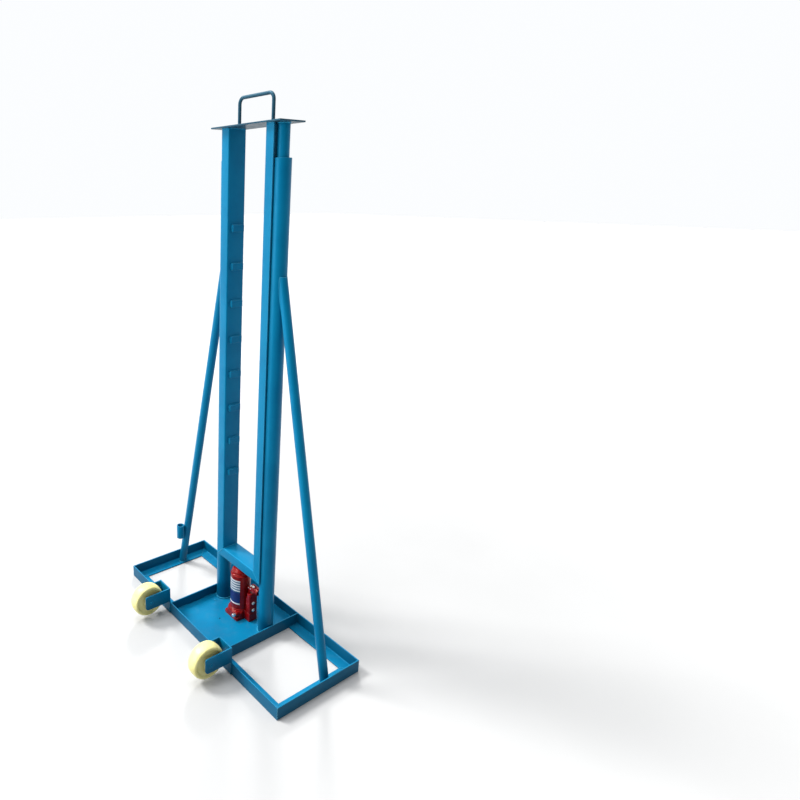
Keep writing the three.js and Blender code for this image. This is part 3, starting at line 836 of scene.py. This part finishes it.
def build_brace(side):
    """Tube leaning from its end rail in to its post: level foot and top, coped to the post."""
    node, post = f"{side}_brace", f"{side}_post"
    outward = Vector((1 if side == "right" else -1, 0, 0))
    foot = Vector((outward.x * BRACE_FOOT_X, post_plane, low(node).z))
    top = Vector((outward.x * BRACE_TOP_X, post_plane, high(node).z))
    axis = (top - foot).normalized()
    spare = 30 * MM
    lean = Matrix.Translation(foot) @ axis.to_track_quat("Z", "Y").to_matrix().to_4x4()
    inner = BRACE_RADIUS - BRACE_WALL
    profile = pipe_profile(BRACE_RADIUS, inner, -spare, (top - foot).length + spare, 0.0)
    obj = raw(node, spun(profile, lean))
    window = prism(rectangle(1.4, 0.2, 0.01, 0, post_plane), foot.z, top.z)
    carve(obj, [window], "INTERSECT")
    post_radius = extent(post).x / 2
    cope = moved(rod(post_radius + GAP, 0, 2, 192), shift(middle(post).x, middle(post).y, 0))
    stand_for(node, carve(obj, [cope]), smooth_angle=30)
    weld_brace_foot(foot, axis)
    weld_brace_top(top, outward, middle(post), post_radius)
    weld_brace_cope(foot, top, axis, outward, middle(post), post_radius)


def weld_brace_foot(foot, axis):
    """Bead round the ellipse that the leaning tube makes on the level flange."""
    reach = BRACE_RADIUS + 0.6 * MM
    points = []
    for i in range(64):
        angle = 2 * pi * i / 64
        points.append(foot + Vector((reach * cos(angle) / axis.z, reach * sin(angle), 0.4 * MM)))
    weld("base", points, 2.4 * MM, True)


def weld_brace_top(top, outward, post, post_radius):
    """Bead over the rim of the brace's flat top, as far as the post."""
    points = []
    for i in range(33):
        angle = -QUARTER + pi * i / 32
        out = outward.x * BRACE_RADIUS * cos(angle)
        rim = top + Vector((out, BRACE_RADIUS * sin(angle), -0.8 * MM))
        if hypot(rim.x - post.x, rim.y - post.y) > post_radius:
            points.append(rim - outward * 1.5 * MM)
    weld("base", points, 1.8 * MM)


def weld_brace_cope(foot, top, axis, outward, post, post_radius):
    """Bead down the cope: each line of the brace's surface runs up until it meets the post."""
    away = (outward - axis * outward.dot(axis)).normalized()
    seam = []
    for i in range(65):
        angle = -pi + 2 * pi * i / 64
        across = BRACE_RADIUS * sin(angle)
        start = foot + away * BRACE_RADIUS * cos(angle) + Vector((0, across, 0))
        post_face = post.x + outward.x * sqrt(max(post_radius ** 2 - across ** 2, 0.0))
        point = start + axis * ((post_face - start.x) / axis.x)
        if point.z < top.z - 1 * MM:
            seam.append(point + outward * 0.5 * MM)
    half = len(seam) // 2
    if seam[0].z < seam[half].z:
        seam = seam[half:] + seam[:half]
    weld("base", seam, 2.0 * MM)


# ----------------------------------------------------------------------------- lift frame
FOLD = 5 * MM
FOLD_OUTER = 5 * MM
FOLD_INNER = 1.5 * MM
LEG_DEPTH = extent("left_leg").y
FRONT_FLANGE = extent("right_leg").x
REAR_FLANGE = FRONT_FLANGE - 12 * MM
beam_top = high("cross_beam").z


def folded_channel(bottom, top):
    """Plate folded to a channel: its web's outer face is at x = 0, its flanges run towards +X."""
    half = LEG_DEPTH / 2
    edge = 0.5 * MM
    section = rounded([
        (0, -half, FOLD_OUTER), (FRONT_FLANGE, -half, edge), (FRONT_FLANGE, FOLD - half, edge),
        (FOLD, FOLD - half, FOLD_INNER), (FOLD, half - FOLD, FOLD_INNER),
        (REAR_FLANGE, half - FOLD, edge), (REAR_FLANGE, half, edge), (0, half, FOLD_OUTER),
    ], 6)
    return prism(section, bottom, top)


def build_lift_frame():
    for side, sign in zip(SIDES, (-1, 1)):
        build_leg(f"{side}_leg", sign)
    build_beam()
    plate = "top_plate"
    size, centre = extent(plate), middle(plate)
    sheet = prism(rectangle(size.x, size.y, 3 * MM, centre.x, centre.y), low(plate).z, high(plate).z)
    stand_for(plate, sheet, 0.8 * MM, handle_blue)
    build_handle()
    build_hooks()


def build_leg(node, sign):
    web = high(node).x if sign < 0 else low(node).x
    vertices, faces = folded_channel(0.0, high(node).z - beam_top)
    for vertex in vertices:
        if vertex.z == 0.0:
            vertex.z = 0.4 * MM - vertex.x
    place = shift(web, post_plane, beam_top) @ Matrix.Diagonal((sign, 1, 1, 1))
    stand_for(node, moved((vertices, faces), place), 0.4 * MM)
    weld_leg(node, sign, web)


def weld_leg(node, sign, web):
    """Beads along the mitre with the beam, in its inner corner, and under the top plate."""
    front, rear = low(node).y, high(node).y
    for y, inside, reach in ((front, front + FOLD, FRONT_FLANGE), (rear, rear - FOLD, REAR_FLANGE)):
        for line_y in (y, inside):
            start = (web + sign * 3 * MM, line_y, beam_top - 3 * MM)
            end = (web + sign * (reach - 1 * MM), line_y, beam_top - reach + 1 * MM)
            weld_line("lift_frame", start, end, 1.3 * MM)
    weld_line("lift_frame", (web, front + 6 * MM, beam_top), (web, rear - 6 * MM, beam_top), 2.0 * MM)
    top = high(node).z - 0.4 * MM
    start_x = web + sign * 5 * MM
    weld_line("lift_frame", (web, front + 5 * MM, top), (web, rear - 5 * MM, top), 1.9 * MM)
    for y, reach in ((front, FRONT_FLANGE), (rear, REAR_FLANGE)):
        weld_line("lift_frame", (start_x, y, top), (web + sign * reach, y, top), 1.9 * MM)


def build_beam():
    half = abs(high("left_leg").x)
    vertices, faces = moved(folded_channel(-half, half), X_DOWN)
    for vertex in vertices:
        vertex.x += -vertex.z if vertex.x > 0 else vertex.z
    stand_for("cross_beam", moved((vertices, faces), shift(0, post_plane, beam_top)), 0.4 * MM)


def build_handle():
    """Bent round bar, with a bead round each foot."""
    node = "handle"
    y = middle(node).y
    radius = extent(node).y / 2
    bend = 21 * MM
    side = extent(node).x / 2 - radius
    straight = side - bend
    top = high(node).z - radius
    foot = low(node).z
    rise = top - bend - foot
    half = [Vector((-side, y, foot + rise * i / 8)) for i in range(8)]
    for i in range(21):
        angle = QUARTER * i / 20
        half.append(Vector((-straight - bend * cos(angle), y, top - bend + bend * sin(angle))))
    across = [Vector((-straight + 2 * straight * i / 12, y, top)) for i in range(1, 12)]
    path = half + across + [Vector((-p.x, p.y, p.z)) for p in reversed(half)]
    stand_for(node, sweep(path, lambda i: radius, sides=32), 0.4 * MM, handle_blue)
    beads = []
    for x in (-side, side):
        foot_ring = ring(Vector((x, y, foot + 0.2 * MM)), radius + 0.4 * MM, 40)
        beads.append(bead_along(foot_ring, 1.9 * MM, True))
    extra("handle_welds", together(beads), "blue_paint", "lift_frame", handle_blue)


def build_hooks():
    """Rest blocks up both legs, each with a fillet weld on all four sides."""
    for side, sign in zip(SIDES, (-1, 1)):
        web = high("left_leg").x if sign < 0 else low("right_leg").x
        x = web - sign * 0.4 * MM
        for i in range(HOOKS_PER_LEG):
            node = f"{side}_hook_{i + 1}"
            size = extent(node)
            outline = rectangle(size.y, size.z, 2.2 * MM)
            block = moved(prism(outline, -size.x / 2, size.x / 2), ALONG_X)
            stand_for(node, moved(block, centred_on(node)), 1.4 * MM)
            (_, front, bottom), (_, rear, top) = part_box(node)
            for z in (bottom, top):
                weld_line("lift_frame", (x, front + 2 * MM, z), (x, rear - 2 * MM, z), 1.6 * MM)
            for y in (front, rear):
                weld_line("lift_frame", (x, y, bottom + 3 * MM), (x, y, top - 3 * MM), 1.4 * MM)


# -------------------------------------------------------------------------------- wheels
FORK_PLATE = 5 * MM
AXLE_HOLE = 6.3 * MM


def build_wheels():
    for side in SIDES:
        build_bracket(f"{side}_wheel_bracket", centred_on(f"{side}_wheel"))
        build_wheel(f"{side}_wheel")
        build_axle(f"{side}_wheel_axle")


def build_bracket(node, axle):
    """Two ears and a back plate, cut from one channel and welded to the front rail's face."""
    bottom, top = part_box(node)
    ear_low = bottom.z + 52 * MM
    nose_top, nose_bottom = 7 * MM, 14 * MM
    spare = 5 * MM
    plate = top.y - FORK_PLATE
    mouth, behind = bottom.y - spare, top.y + spare
    inner_low, inner_high = bottom.x + FORK_PLATE, top.x - FORK_PLATE
    plan = [
        (bottom.x, mouth), (inner_low, mouth), (inner_low, plate), (inner_high, plate),
        (inner_high, mouth), (top.x, mouth), (top.x, behind), (bottom.x, behind),
    ]
    obj = raw(node, prism(plan, bottom.z - spare, top.z + spare))
    side = rounded([
        (bottom.y, ear_low, nose_bottom), (plate, ear_low, 0), (plate, bottom.z, 0),
        (top.y, bottom.z, 0), (top.y, top.z, 0), (bottom.y, top.z, nose_top),
    ], 12)
    carve(obj, [moved(prism(side, bottom.x - spare, top.x + spare), ALONG_X)], "INTERSECT")
    hole = moved(drill(AXLE_HOLE, reach=100 * MM), axle @ ALONG_X)
    stand_for(node, carve(obj, [hole]), 0.9 * MM)
    weld_bracket(bottom, top, ear_low)


def weld_bracket(bottom, top, ear_low):
    """Beads round the back plate, and inside the two folds."""
    rail_top = high("front_rail").z
    for x in (bottom.x, top.x):
        weld_line("base", (x, top.y, bottom.z + 4 * MM), (x, top.y, rail_top - 3 * MM), 2.0 * MM)
    y = top.y + 0.4 * MM
    weld_line("base", (bottom.x + 4 * MM, y, rail_top), (top.x - 4 * MM, y, rail_top), 2.0 * MM)
    y = top.y - FORK_PLATE
    for x in (bottom.x + FORK_PLATE, top.x - FORK_PLATE):
        weld_line("base", (x, y, ear_low + 3 * MM), (x, y, top.z - 3 * MM), 1.6 * MM)


def build_wheel(node):
    """Cast nylon wheel: crowned tread with round shoulders, dished web and a proud hub."""
    radius = extent(node).z / 2
    hub = extent(node).x / 2
    rim = hub - 6 * MM
    bore = 6.6 * MM
    half = [
        (radius - 2.2 * MM, rim - 8 * MM, 26 * MM), (radius - 6 * MM, rim, 5 * MM),
        (radius - 13 * MM, rim, 1.6 * MM), (radius - 18 * MM, rim - 5 * MM, 4 * MM),
        (24 * MM, rim - 5 * MM, 4 * MM), (19 * MM, rim, 2 * MM), (18.4 * MM, hub, 1.6 * MM),
        (bore, hub, 0.8 * MM),
    ]
    crown = (radius, 0.0, 90 * MM)
    profile = rounded([*flipped(half), crown, *half], 8)
    wheel = spun(profile, centred_on(node) @ ALONG_X, 128)
    stand_for(node, wheel, smooth_angle=45)


def build_axle(node):
    """Riveted pin with domed heads outside the fork's ears, and a washer inside each ear."""
    size, centre = extent(node), middle(node)
    end = size.x / 2
    head = size.z / 2
    ear = 38.3 * MM
    shank = 6 * MM
    half = [(shank, ear, 0.4 * MM), (head, ear, 0.4 * MM), (head - 0.6 * MM, ear + 1.4 * MM, 1.2 * MM),
            (head - 3.5 * MM, end, 2 * MM)]
    profile = rounded([(0, -end, 0), *flipped(half), *half, (0, end, 0)], 5, closed=False)
    stand_for(node, spun(profile, Matrix.Translation(centre) @ ALONG_X, 48))
    thickness, inside = 1.6 * MM, 31.1 * MM
    washer = lathe(pipe_profile(13 * MM, AXLE_HOLE, 0, thickness, 0.3 * MM), 48)
    for side, along in (("inner", -inside - thickness), ("outer", inside)):
        place = shift(centre.x + along, centre.y, centre.z) @ ALONG_X
        extra(f"{node}_washer_{side}", moved(washer, place), "steel", "base")


# ----------------------------------------------------------------------------- bottle jack
jack = middle("jack_cylinder")
JACK_AXIS = shift(jack.x, jack.y, 0)
BARREL_RADIUS = extent("jack_cylinder").x / 2
PIN_HOLE = 3.5 * MM


def build_jack():
    build_jack_base()
    build_cylinder()
    build_cap()
    build_label()
    build_ram()
    build_screw()
    build_pump()
    build_plunger()
    build_rocker()
    build_links()
    build_pins()
    build_release_valve()
    build_filler_plug()
    build_side_plugs()


def build_jack_base():
    """Sand-cast base: square foot, pump lobe, round collar and a boss for the release valve."""
    node = "jack_base"
    bottom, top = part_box(node)
    foot_width, foot_depth = 2 * (jack.x - bottom.x), extent(node).y
    foot_y = middle(node).y
    pump, pump_size = middle("jack_pump_body"), extent("jack_pump_body")
    valve = middle("jack_release_valve")
    slab_top = bottom.z + 13 * MM
    foot = prism(rectangle(foot_width, foot_depth, 7 * MM, jack.x, foot_y), bottom.z, slab_top)
    lobe_left = jack.x + 25 * MM
    lobe_outline = rectangle(top.x - lobe_left, 44 * MM, 9 * MM, (top.x + lobe_left) / 2, pump.y - 1.5 * MM)
    lobe = prism(lobe_outline, bottom.z, slab_top)
    pump_outline = rectangle(pump_size.x + 12 * MM, pump_size.y + 8 * MM, 6 * MM,
                             pump.x - 6 * MM, pump.y - 4 * MM)
    pump_foot = prism(pump_outline, bottom.z, top.z)
    boss_face = bottom.y + 2.5 * MM
    boss_length = 28 * MM
    boss = [(0, 0), (11.5 * MM, 0), (10.5 * MM, boss_length), (0, boss_length)]
    boss_place = shift(valve.x, boss_face + boss_length, valve.z) @ ALONG_Y
    collar = BARREL_RADIUS + 2.6 * MM
    cone = [(0, bottom.z + 6 * MM), (56 * MM, bottom.z + 6 * MM), (50 * MM, top.z - 10 * MM),
            (collar, top.z - 2 * MM), (0, top.z - 2 * MM)]
    obj = raw(node, spun(cone, JACK_AXIS))
    edge = 2 * MM
    window = prism(rectangle(foot_width - edge, foot_depth - edge, 8 * MM, jack.x, foot_y), 0, 1)
    carve(obj, [window], "INTERSECT")
    carve(obj, [foot, lobe, pump_foot, spun(boss, boss_place, 48)], "UNION")
    soften(obj, 1.1 * MM, 9)
    flat = prism(rectangle(0.4, 0.4, 0.01, jack.x, jack.y), bottom.z, top.z)
    carve(obj, [flat], "INTERSECT")
    well = moved(rod(5.4 * MM, -0.02, 0.02), shift(valve.x, boss_face, valve.z) @ ALONG_Y)
    seat = moved(rod(collar - 2.3 * MM, 0, 9 * MM, 96), shift(jack.x, jack.y, top.z - 2.5 * MM))
    stand_for(node, carve(obj, [well, seat]), smooth_angle=50)


def build_cylinder():
    """Cylinder with a rolled lip, and the bead of its collar on the base."""
    node = "jack_cylinder"
    foot, top = low(node).z, high(node).z
    bottom = foot - 1.5 * MM
    body, inner = BARREL_RADIUS - 0.5 * MM, BARREL_RADIUS - 4 * MM
    profile = rounded([
        (body, bottom, 0.5 * MM), (body, top - 7 * MM, 0.8 * MM), (BARREL_RADIUS, top - 6 * MM, 0.8 * MM),
        (BARREL_RADIUS, top, 2.4 * MM), (inner, top, 0.5 * MM), (inner, bottom, 0.5 * MM),
    ])
    stand_for(node, spun(profile, JACK_AXIS, 160))
    under = BARREL_RADIUS - 1 * MM
    collar = rounded([
        (under, foot - 2 * MM, 0.3 * MM), (BARREL_RADIUS + 2.2 * MM, foot - 2 * MM, 1 * MM),
        (BARREL_RADIUS + 1.6 * MM, foot + 2.4 * MM, 1.4 * MM), (under, foot + 3.2 * MM, 0.3 * MM),
    ], 4)
    extra("jack_collar_bead", spun(collar, JACK_AXIS, 160), "red_paint", "base")


def build_cap():
    """Domed gland cap with four spanner notches."""
    node = "jack_cap"
    top, skirt_low = high(node).z, low(node).z
    seat = high("jack_cylinder").z + GAP
    bore = extent("jack_ram").x / 2 + GAP
    outer = extent(node).x / 2 - 3.5 * MM
    flange = outer + 2 * MM
    skirt = BARREL_RADIUS - 4.4 * MM
    profile = rounded([
        (bore, skirt_low, 0.5 * MM), (skirt, skirt_low, 0.5 * MM), (skirt, seat, 0.3 * MM),
        (flange, seat, 0.6 * MM), (flange, seat + 2.4 * MM, 1.2 * MM), (outer, seat + 3 * MM, 1 * MM),
        (outer, seat + 12 * MM, 4 * MM), (outer - 7 * MM, top - 1 * MM, 3 * MM),
        (bore + 8 * MM, top - 1 * MM, 1 * MM), (bore + 7 * MM, top, 0.8 * MM), (bore, top, 1 * MM),
    ], 6)
    obj = raw(node, spun(profile, JACK_AXIS, 160))
    notch = prism(rectangle(9 * MM, 9 * MM, 1.5 * MM, flange, 0), top - 7 * MM, top + PAST)
    first = 0.4
    notches = [moved(notch, JACK_AXIS @ turned(first + QUARTER * i, "Z")) for i in range(4)]
    stand_for(node, carve(obj, notches), smooth_angle=35)


def build_label():
    """Printed film round the front of the cylinder, a hair proud of the paint."""
    bottom = low("jack_base").z + 65 * MM
    top = low("jack_base").z + 176 * MM
    start, turn = radians(-150), radians(108)
    film = 0.2 * MM
    outside, inside = (arc(BARREL_RADIUS + lift, start, turn, 72) for lift in (film, -film))
    label = moved(prism(outside + inside[::-1], bottom, top), JACK_AXIS)
    extra("jack_label", label, "red_paint", "base", printed_label("printed_film", bottom, top))


def build_ram():
    node = "jack_ram"
    radius = extent(node).x / 2
    bottom, top = low(node).z, high(node).z
    socket = 11.3 * MM
    socket_low = low("jack_extension_screw").z - 10 * MM
    profile = rounded([
        (0, bottom, 0), (radius, bottom, 1 * MM), (radius, top, 1.6 * MM), (socket, top, 0.8 * MM),
        (socket, socket_low, 0), (0, socket_low, 0),
    ], closed=False)
    chrome = bright_steel("hard_chrome", (0.8, 0.81, 0.82), gloss=0.08, streak=2200.0)
    stand_for(node, spun(profile, JACK_AXIS), material=chrome)


SCREW_CORE, SCREW_CREST, SCREW_PITCH = 9.2 * MM, 10.9 * MM, 3.5 * MM
THREAD_STEPS = 48


def thread_skin(bottom, turns):
    """One open sheet wound round Z: core, flank, crest, flank, and on to the next turn's core."""
    tooth = ((0.0, SCREW_CORE), (0.28, SCREW_CORE), (0.42, SCREW_CREST), (0.72, SCREW_CREST),
             (0.86, SCREW_CORE))
    last = len(tooth) - 1
    vertices, faces, rows = [], [], []
    for i in range(turns * THREAD_STEPS + 1):
        angle = 2 * pi * i / THREAD_STEPS
        rows.append(range(len(vertices), len(vertices) + len(tooth)))
        for share, radius in tooth:
            z = bottom + SCREW_PITCH * (i / THREAD_STEPS + share)
            vertices.append(Vector((radius * cos(angle), radius * sin(angle), z)))
    for i, (row, following) in enumerate(zip(rows, rows[1:])):
        for k in range(last):
            faces.append((row[k], following[k], following[k + 1], row[k + 1]))
        ahead = i + THREAD_STEPS
        if ahead + 1 < len(rows):
            faces.append((row[last], following[last], rows[ahead + 1][0], rows[ahead][0]))
    return vertices, faces


def taken(obj):
    """An object's mesh as vertices and faces; the object itself goes."""
    mesh = obj.data
    solid = [v.co.copy() for v in mesh.vertices], [tuple(p.vertices) for p in mesh.polygons]
    bpy.data.objects.remove(obj)
    return solid


def build_screw():
    """Extension screw: a real thread up to its neck, and a grooved saddle."""
    node = "jack_extension_screw"
    bottom, top = low(node).z, high(node).z
    saddle = extent(node).x / 2
    head_low = top - 15 * MM
    neck = head_low - 5 * MM
    turns = int((neck - bottom) / SCREW_PITCH)
    thread = raw("thread", thread_skin(bottom + 1 * MM, turns))
    shell = thread.modifiers.new("fill", "SOLIDIFY")
    shell.thickness = 1.2 * MM
    shell.offset = -1
    bake_modifiers(thread)
    shaft = SCREW_CORE - 0.2 * MM
    shaft_profile = rounded([(0, bottom, 0), (shaft, bottom, 1 * MM), (shaft, head_low, 0), (0, head_low, 0)],
                            4, closed=False)
    head = rounded([
        (0, neck, 0), (SCREW_CORE + 1 * MM, neck, 0.8 * MM), (saddle - 3 * MM, head_low, 2 * MM),
        (saddle, head_low, 1.2 * MM), (saddle, top, 1.4 * MM), (0, top, 0),
    ], closed=False)
    cap = raw("saddle", lathe(head))
    groove = prism(rectangle(0.1, 3 * MM, 0.5 * MM), top - 2.6 * MM, top + PAST)
    carve(cap, [moved(groove, turned(angle, "Z")) for angle in (0, QUARTER)])
    joined = together([taken(thread), taken(cap), lathe(shaft_profile, 48)])
    stand_for(node, moved(joined, JACK_AXIS), smooth_angle=32)


def pump_block(bottom, top, centre, size):
    """The housing before its holes: a block with a web to the cylinder, and a lug between cheeks."""
    forward = 8 * MM
    lug_pin = middle("jack_lug_pin")
    face = rectangle(size.x, size.y + forward, 7 * MM, centre.x, centre.y - forward / 2)
    obj = raw("jack_pump_body", prism(face, bottom.z, top.z))
    web = rectangle(12 * MM, size.y - 6 * MM, 1 * MM, bottom.x, centre.y - 5 * MM)
    carve(obj, [prism(web, bottom.z, top.z - 12 * MM)], "UNION")
    above = top.z + PAST
    recess = 22 * MM
    lug_to_cut = 16.2 * MM
    cuts = []
    for sign in (-1, 1):
        beside = rectangle(recess, 20 * MM, 1 * MM, bottom.x, centre.y + sign * lug_to_cut)
        cuts.append(prism(beside, lug_pin.z - 9 * MM, above))
    over = rectangle(recess, 60 * MM, 1 * MM, bottom.x, centre.y)
    cuts.append(prism(over, lug_pin.z + 6 * MM, above))
    carve(obj, cuts)
    soften(obj, 0.8 * MM, 6)
    keep = prism(rectangle(0.2, 0.2, 0.01, centre.x, centre.y), bottom.z, top.z)
    relief = moved(rod(BARREL_RADIUS + GAP, 0, 1, 128), JACK_AXIS)
    carve(obj, [keep], "INTERSECT")
    return carve(obj, [relief])


def build_pump():
    """Pump housing with its bores, and the wiper round the plunger."""
    node = "jack_pump_body"
    bottom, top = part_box(node)
    plunger = middle("jack_pump_plunger")
    obj = pump_block(bottom, top, middle(node), extent(node))
    holes = [
        moved(rod(7.3 * MM, 0, 1, 64), shift(plunger.x, plunger.y, bottom.z + 20 * MM)),
        moved(rod(9.5 * MM, 0, 1, 64), shift(plunger.x, plunger.y, top.z - 3 * MM)),
        moved(drill(PIN_HOLE), centred_on("jack_lug_pin") @ ALONG_Y),
    ]
    for plug in ("jack_check_plug", "jack_overload_plug"):
        at = middle(plug)
        holes.append(moved(rod(5.4 * MM, -7 * MM, 0.02), shift(top.x, at.y, at.z) @ ALONG_X))
    stand_for(node, carve(obj, holes), smooth_angle=50)
    wiper = pipe_profile(9.2 * MM, 7.2 * MM, top.z - 2.8 * MM, top.z + 0.8 * MM, 0.5 * MM)
    extra("jack_plunger_wiper", spun(wiper, shift(plunger.x, plunger.y, 0), 64), "rubber", "base")


def pin_hole(x, y, z):
    return moved(drill(PIN_HOLE, 40), shift(x, y, z) @ ALONG_Y)


def build_plunger():
    """Round stem with a cross eye for the plunger pin."""
    node = "jack_pump_plunger"
    bottom = low(node).z
    pin = middle("jack_plunger_pin")
    stem, stem_top = 7 * MM, pin.z - 2 * MM
    eye, eye_end = 7.5 * MM, 6.2 * MM
    stem_profile = rounded([(0, bottom, 0), (stem, bottom, 1 * MM), (stem, stem_top, 1 * MM),
                            (0, stem_top, 0)], 4, closed=False)
    eye_profile = rounded([(0, -eye_end, 0), (eye, -eye_end, 1 * MM), (eye, eye_end, 1 * MM),
                           (0, eye_end, 0)], 4, closed=False)
    obj = raw(node, spun(stem_profile, shift(pin.x, pin.y, 0), 64))
    carve(obj, [spun(eye_profile, Matrix.Translation(pin) @ ALONG_Y, 64)], "UNION")
    stand_for(node, carve(obj, [pin_hole(*pin)]))


def cheek_outline(nose, half_height, start, end):
    """Round nose about x = start, running on to a square end along +X."""
    centre = Vector((start, 0))
    outline = [centre + point for point in arc(nose, QUARTER, pi, 24)]
    shoulder = start + 6 * MM
    return outline + [Vector((shoulder, -half_height)), Vector((end, -half_height)),
                      Vector((end, half_height)), Vector((shoulder, half_height))]


def build_rocker():
    """Lever socket with two ears that take the link pin and the plunger pin."""
    node = "jack_rocker"
    pin = middle("jack_plunger_pin")
    arm = pin.x - middle("jack_link_pin").x
    width = extent(node).y
    gap = 20.6 * MM
    outer = width / 2 - 0.5 * MM
    socket_end = high(node).x - pin.x
    socket_low = socket_end - 20 * MM
    cheeks = prism(cheek_outline(5.2 * MM, 7.5 * MM, -arm, socket_low + 5 * MM), -width / 2, width / 2)
    obj = raw(node, moved(cheeks, ALONG_Y))
    carve(obj, [prism(rectangle(0.08, gap, 1 * MM, socket_low - 0.04, 0), -0.05, 0.05)])
    tube = rounded([(0, socket_low, 0), (outer, socket_low, 1 * MM), (outer, socket_end, 0.6 * MM),
                    (0, socket_end, 0)], 4, closed=False)
    carve(obj, [spun(tube, ALONG_X, 64)], "UNION")
    bore = moved(rod(9.5 * MM, socket_low + 4 * MM, 0.2, 64), ALONG_X)
    set_screw = moved(rod(2.6 * MM, 0, 0.05, 32), shift(socket_end - 6 * MM, 0, 0))
    carve(obj, [bore, pin_hole(-arm, 0, 0), pin_hole(0, 0, 0), set_screw])
    obj.data.transform(Matrix.Translation(pin))
    stand_for(node, obj, 0.5 * MM, smooth_angle=32)


def build_links():
    """Round-ended straps: a hole for the lug pin, and a slot in which the link pin moves."""
    lug_pin = middle("jack_lug_pin")
    link_pin = middle("jack_link_pin")
    for node in ("jack_front_link", "jack_rear_link"):
        bottom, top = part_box(node)
        end = (top.x - bottom.x) / 2 * 0.98
        outline = rounded([(bottom.x, bottom.z, end), (top.x, bottom.z, end),
                           (top.x, top.z, end), (bottom.x, top.z, end)], 14)
        obj = raw(node, moved(prism(outline, -top.y, -bottom.y), ALONG_Y))
        slot = rectangle(8.8 * MM, 7.6 * MM, 3.7 * MM, (top.x + bottom.x) / 2, link_pin.z)
        hole = pin_hole(lug_pin.x, middle(node).y, lug_pin.z)
        carve(obj, [hole, moved(prism(slot, -0.5, 0.5), ALONG_Y)])
        stand_for(node, obj, 0.4 * MM)


def build_pins():
    """Pins with a chamfer and a clip groove at each end."""
    for node in ("jack_lug_pin", "jack_plunger_pin", "jack_link_pin"):
        half = extent(node).y / 2
        radius = extent(node).x / 2
        chamfer = 0.7 * MM
        groove = radius - 0.6 * MM
        groove_end, groove_start = half - 2.2 * MM, half - 3.2 * MM
        upper = [(radius, groove_start), (groove, groove_start), (groove, groove_end),
                 (radius, groove_end), (radius, half - chamfer), (radius - chamfer, half)]
        lower = [(r, -z) for r, z in reversed(upper)]
        profile = [(0, -half), *lower, *upper, (0, half)]
        stand_for(node, spun(profile, centred_on(node) @ ALONG_Y, 40))


def build_release_valve():
    """Valve screw: a square head with a driver slot."""
    node = "jack_release_valve"
    centre = middle(node)
    front, back = low(node).y, high(node).y
    length, head = back - front, extent(node).x / 2
    head_start = length - 12 * MM
    shank = 5 * MM
    profile = rounded([
        (0, 0, 0), (shank, 0, 1 * MM), (shank, head_start, 0.3 * MM), (head, head_start, 0.8 * MM),
        (head, length, 1.6 * MM), (0, length, 0),
    ], closed=False)
    place = shift(centre.x, back, centre.z) @ ALONG_Y
    obj = raw(node, spun(profile, place, 64))
    slot = prism(rectangle(2.4 * MM, 6 * MM, 0.2 * MM, centre.x, front), centre.z - 0.02, centre.z + 0.02)
    flat = rectangle(2 * MM, 20 * MM, 0.4 * MM, head + 0.5 * MM, 0)
    side = prism(flat, head_start - 0.2 * MM, length + PAST)
    sides = [moved(side, place @ turned(radians(45 + 90 * i), "Z")) for i in range(4)]
    stand_for(node, carve(obj, [slot, *sides]), 0.25 * MM)


def build_filler_plug():
    node = "jack_filler_plug"
    centre = middle(node)
    length, head = extent(node).y, extent(node).x / 2
    shank, seat = 5 * MM, 4.6 * MM
    profile = rounded([
        (0, 0, 0), (shank, 0, 0.4 * MM), (shank, seat, 0.2 * MM), (head, seat, 0.6 * MM),
        (head, seat + 2 * MM, 1 * MM), (head - 2.5 * MM, length, 1.2 * MM), (0, length, 0),
    ], closed=False)
    place = shift(centre.x, low(node).y, centre.z) @ turned(pi, "X") @ ALONG_Y
    stand_for(node, spun(profile, place, 48))


def build_side_plugs():
    """Valve plugs in the pump housing's side, each with a hexagon socket."""
    hexagon = arc(3.2 * MM, 0, 2 * pi, 6)[:-1]
    shank = 5 * MM
    for node in ("jack_check_plug", "jack_overload_plug"):
        centre = middle(node)
        length, head = extent(node).x, extent(node).y / 2
        seat = length - 4.2 * MM
        profile = rounded([
            (0, 0, 0), (shank, 0, 0.6 * MM), (shank, seat, 0.2 * MM), (head, seat, 0.3 * MM),
            (head, length - 0.6 * MM, 0.9 * MM), (0, length, 0),
        ], 4, closed=False)
        place = shift(low(node).x, centre.y, centre.z) @ ALONG_X
        obj = raw(node, spun(profile, place, 48))
        key = moved(prism(hexagon, length - 2.6 * MM, length + PAST), place)
        stand_for(node, carve(obj, [key]), 0.2 * MM)


build_rails()
build_tray()
build_posts()
build_lift_frame()
build_wheels()
build_jack()
add_welds()
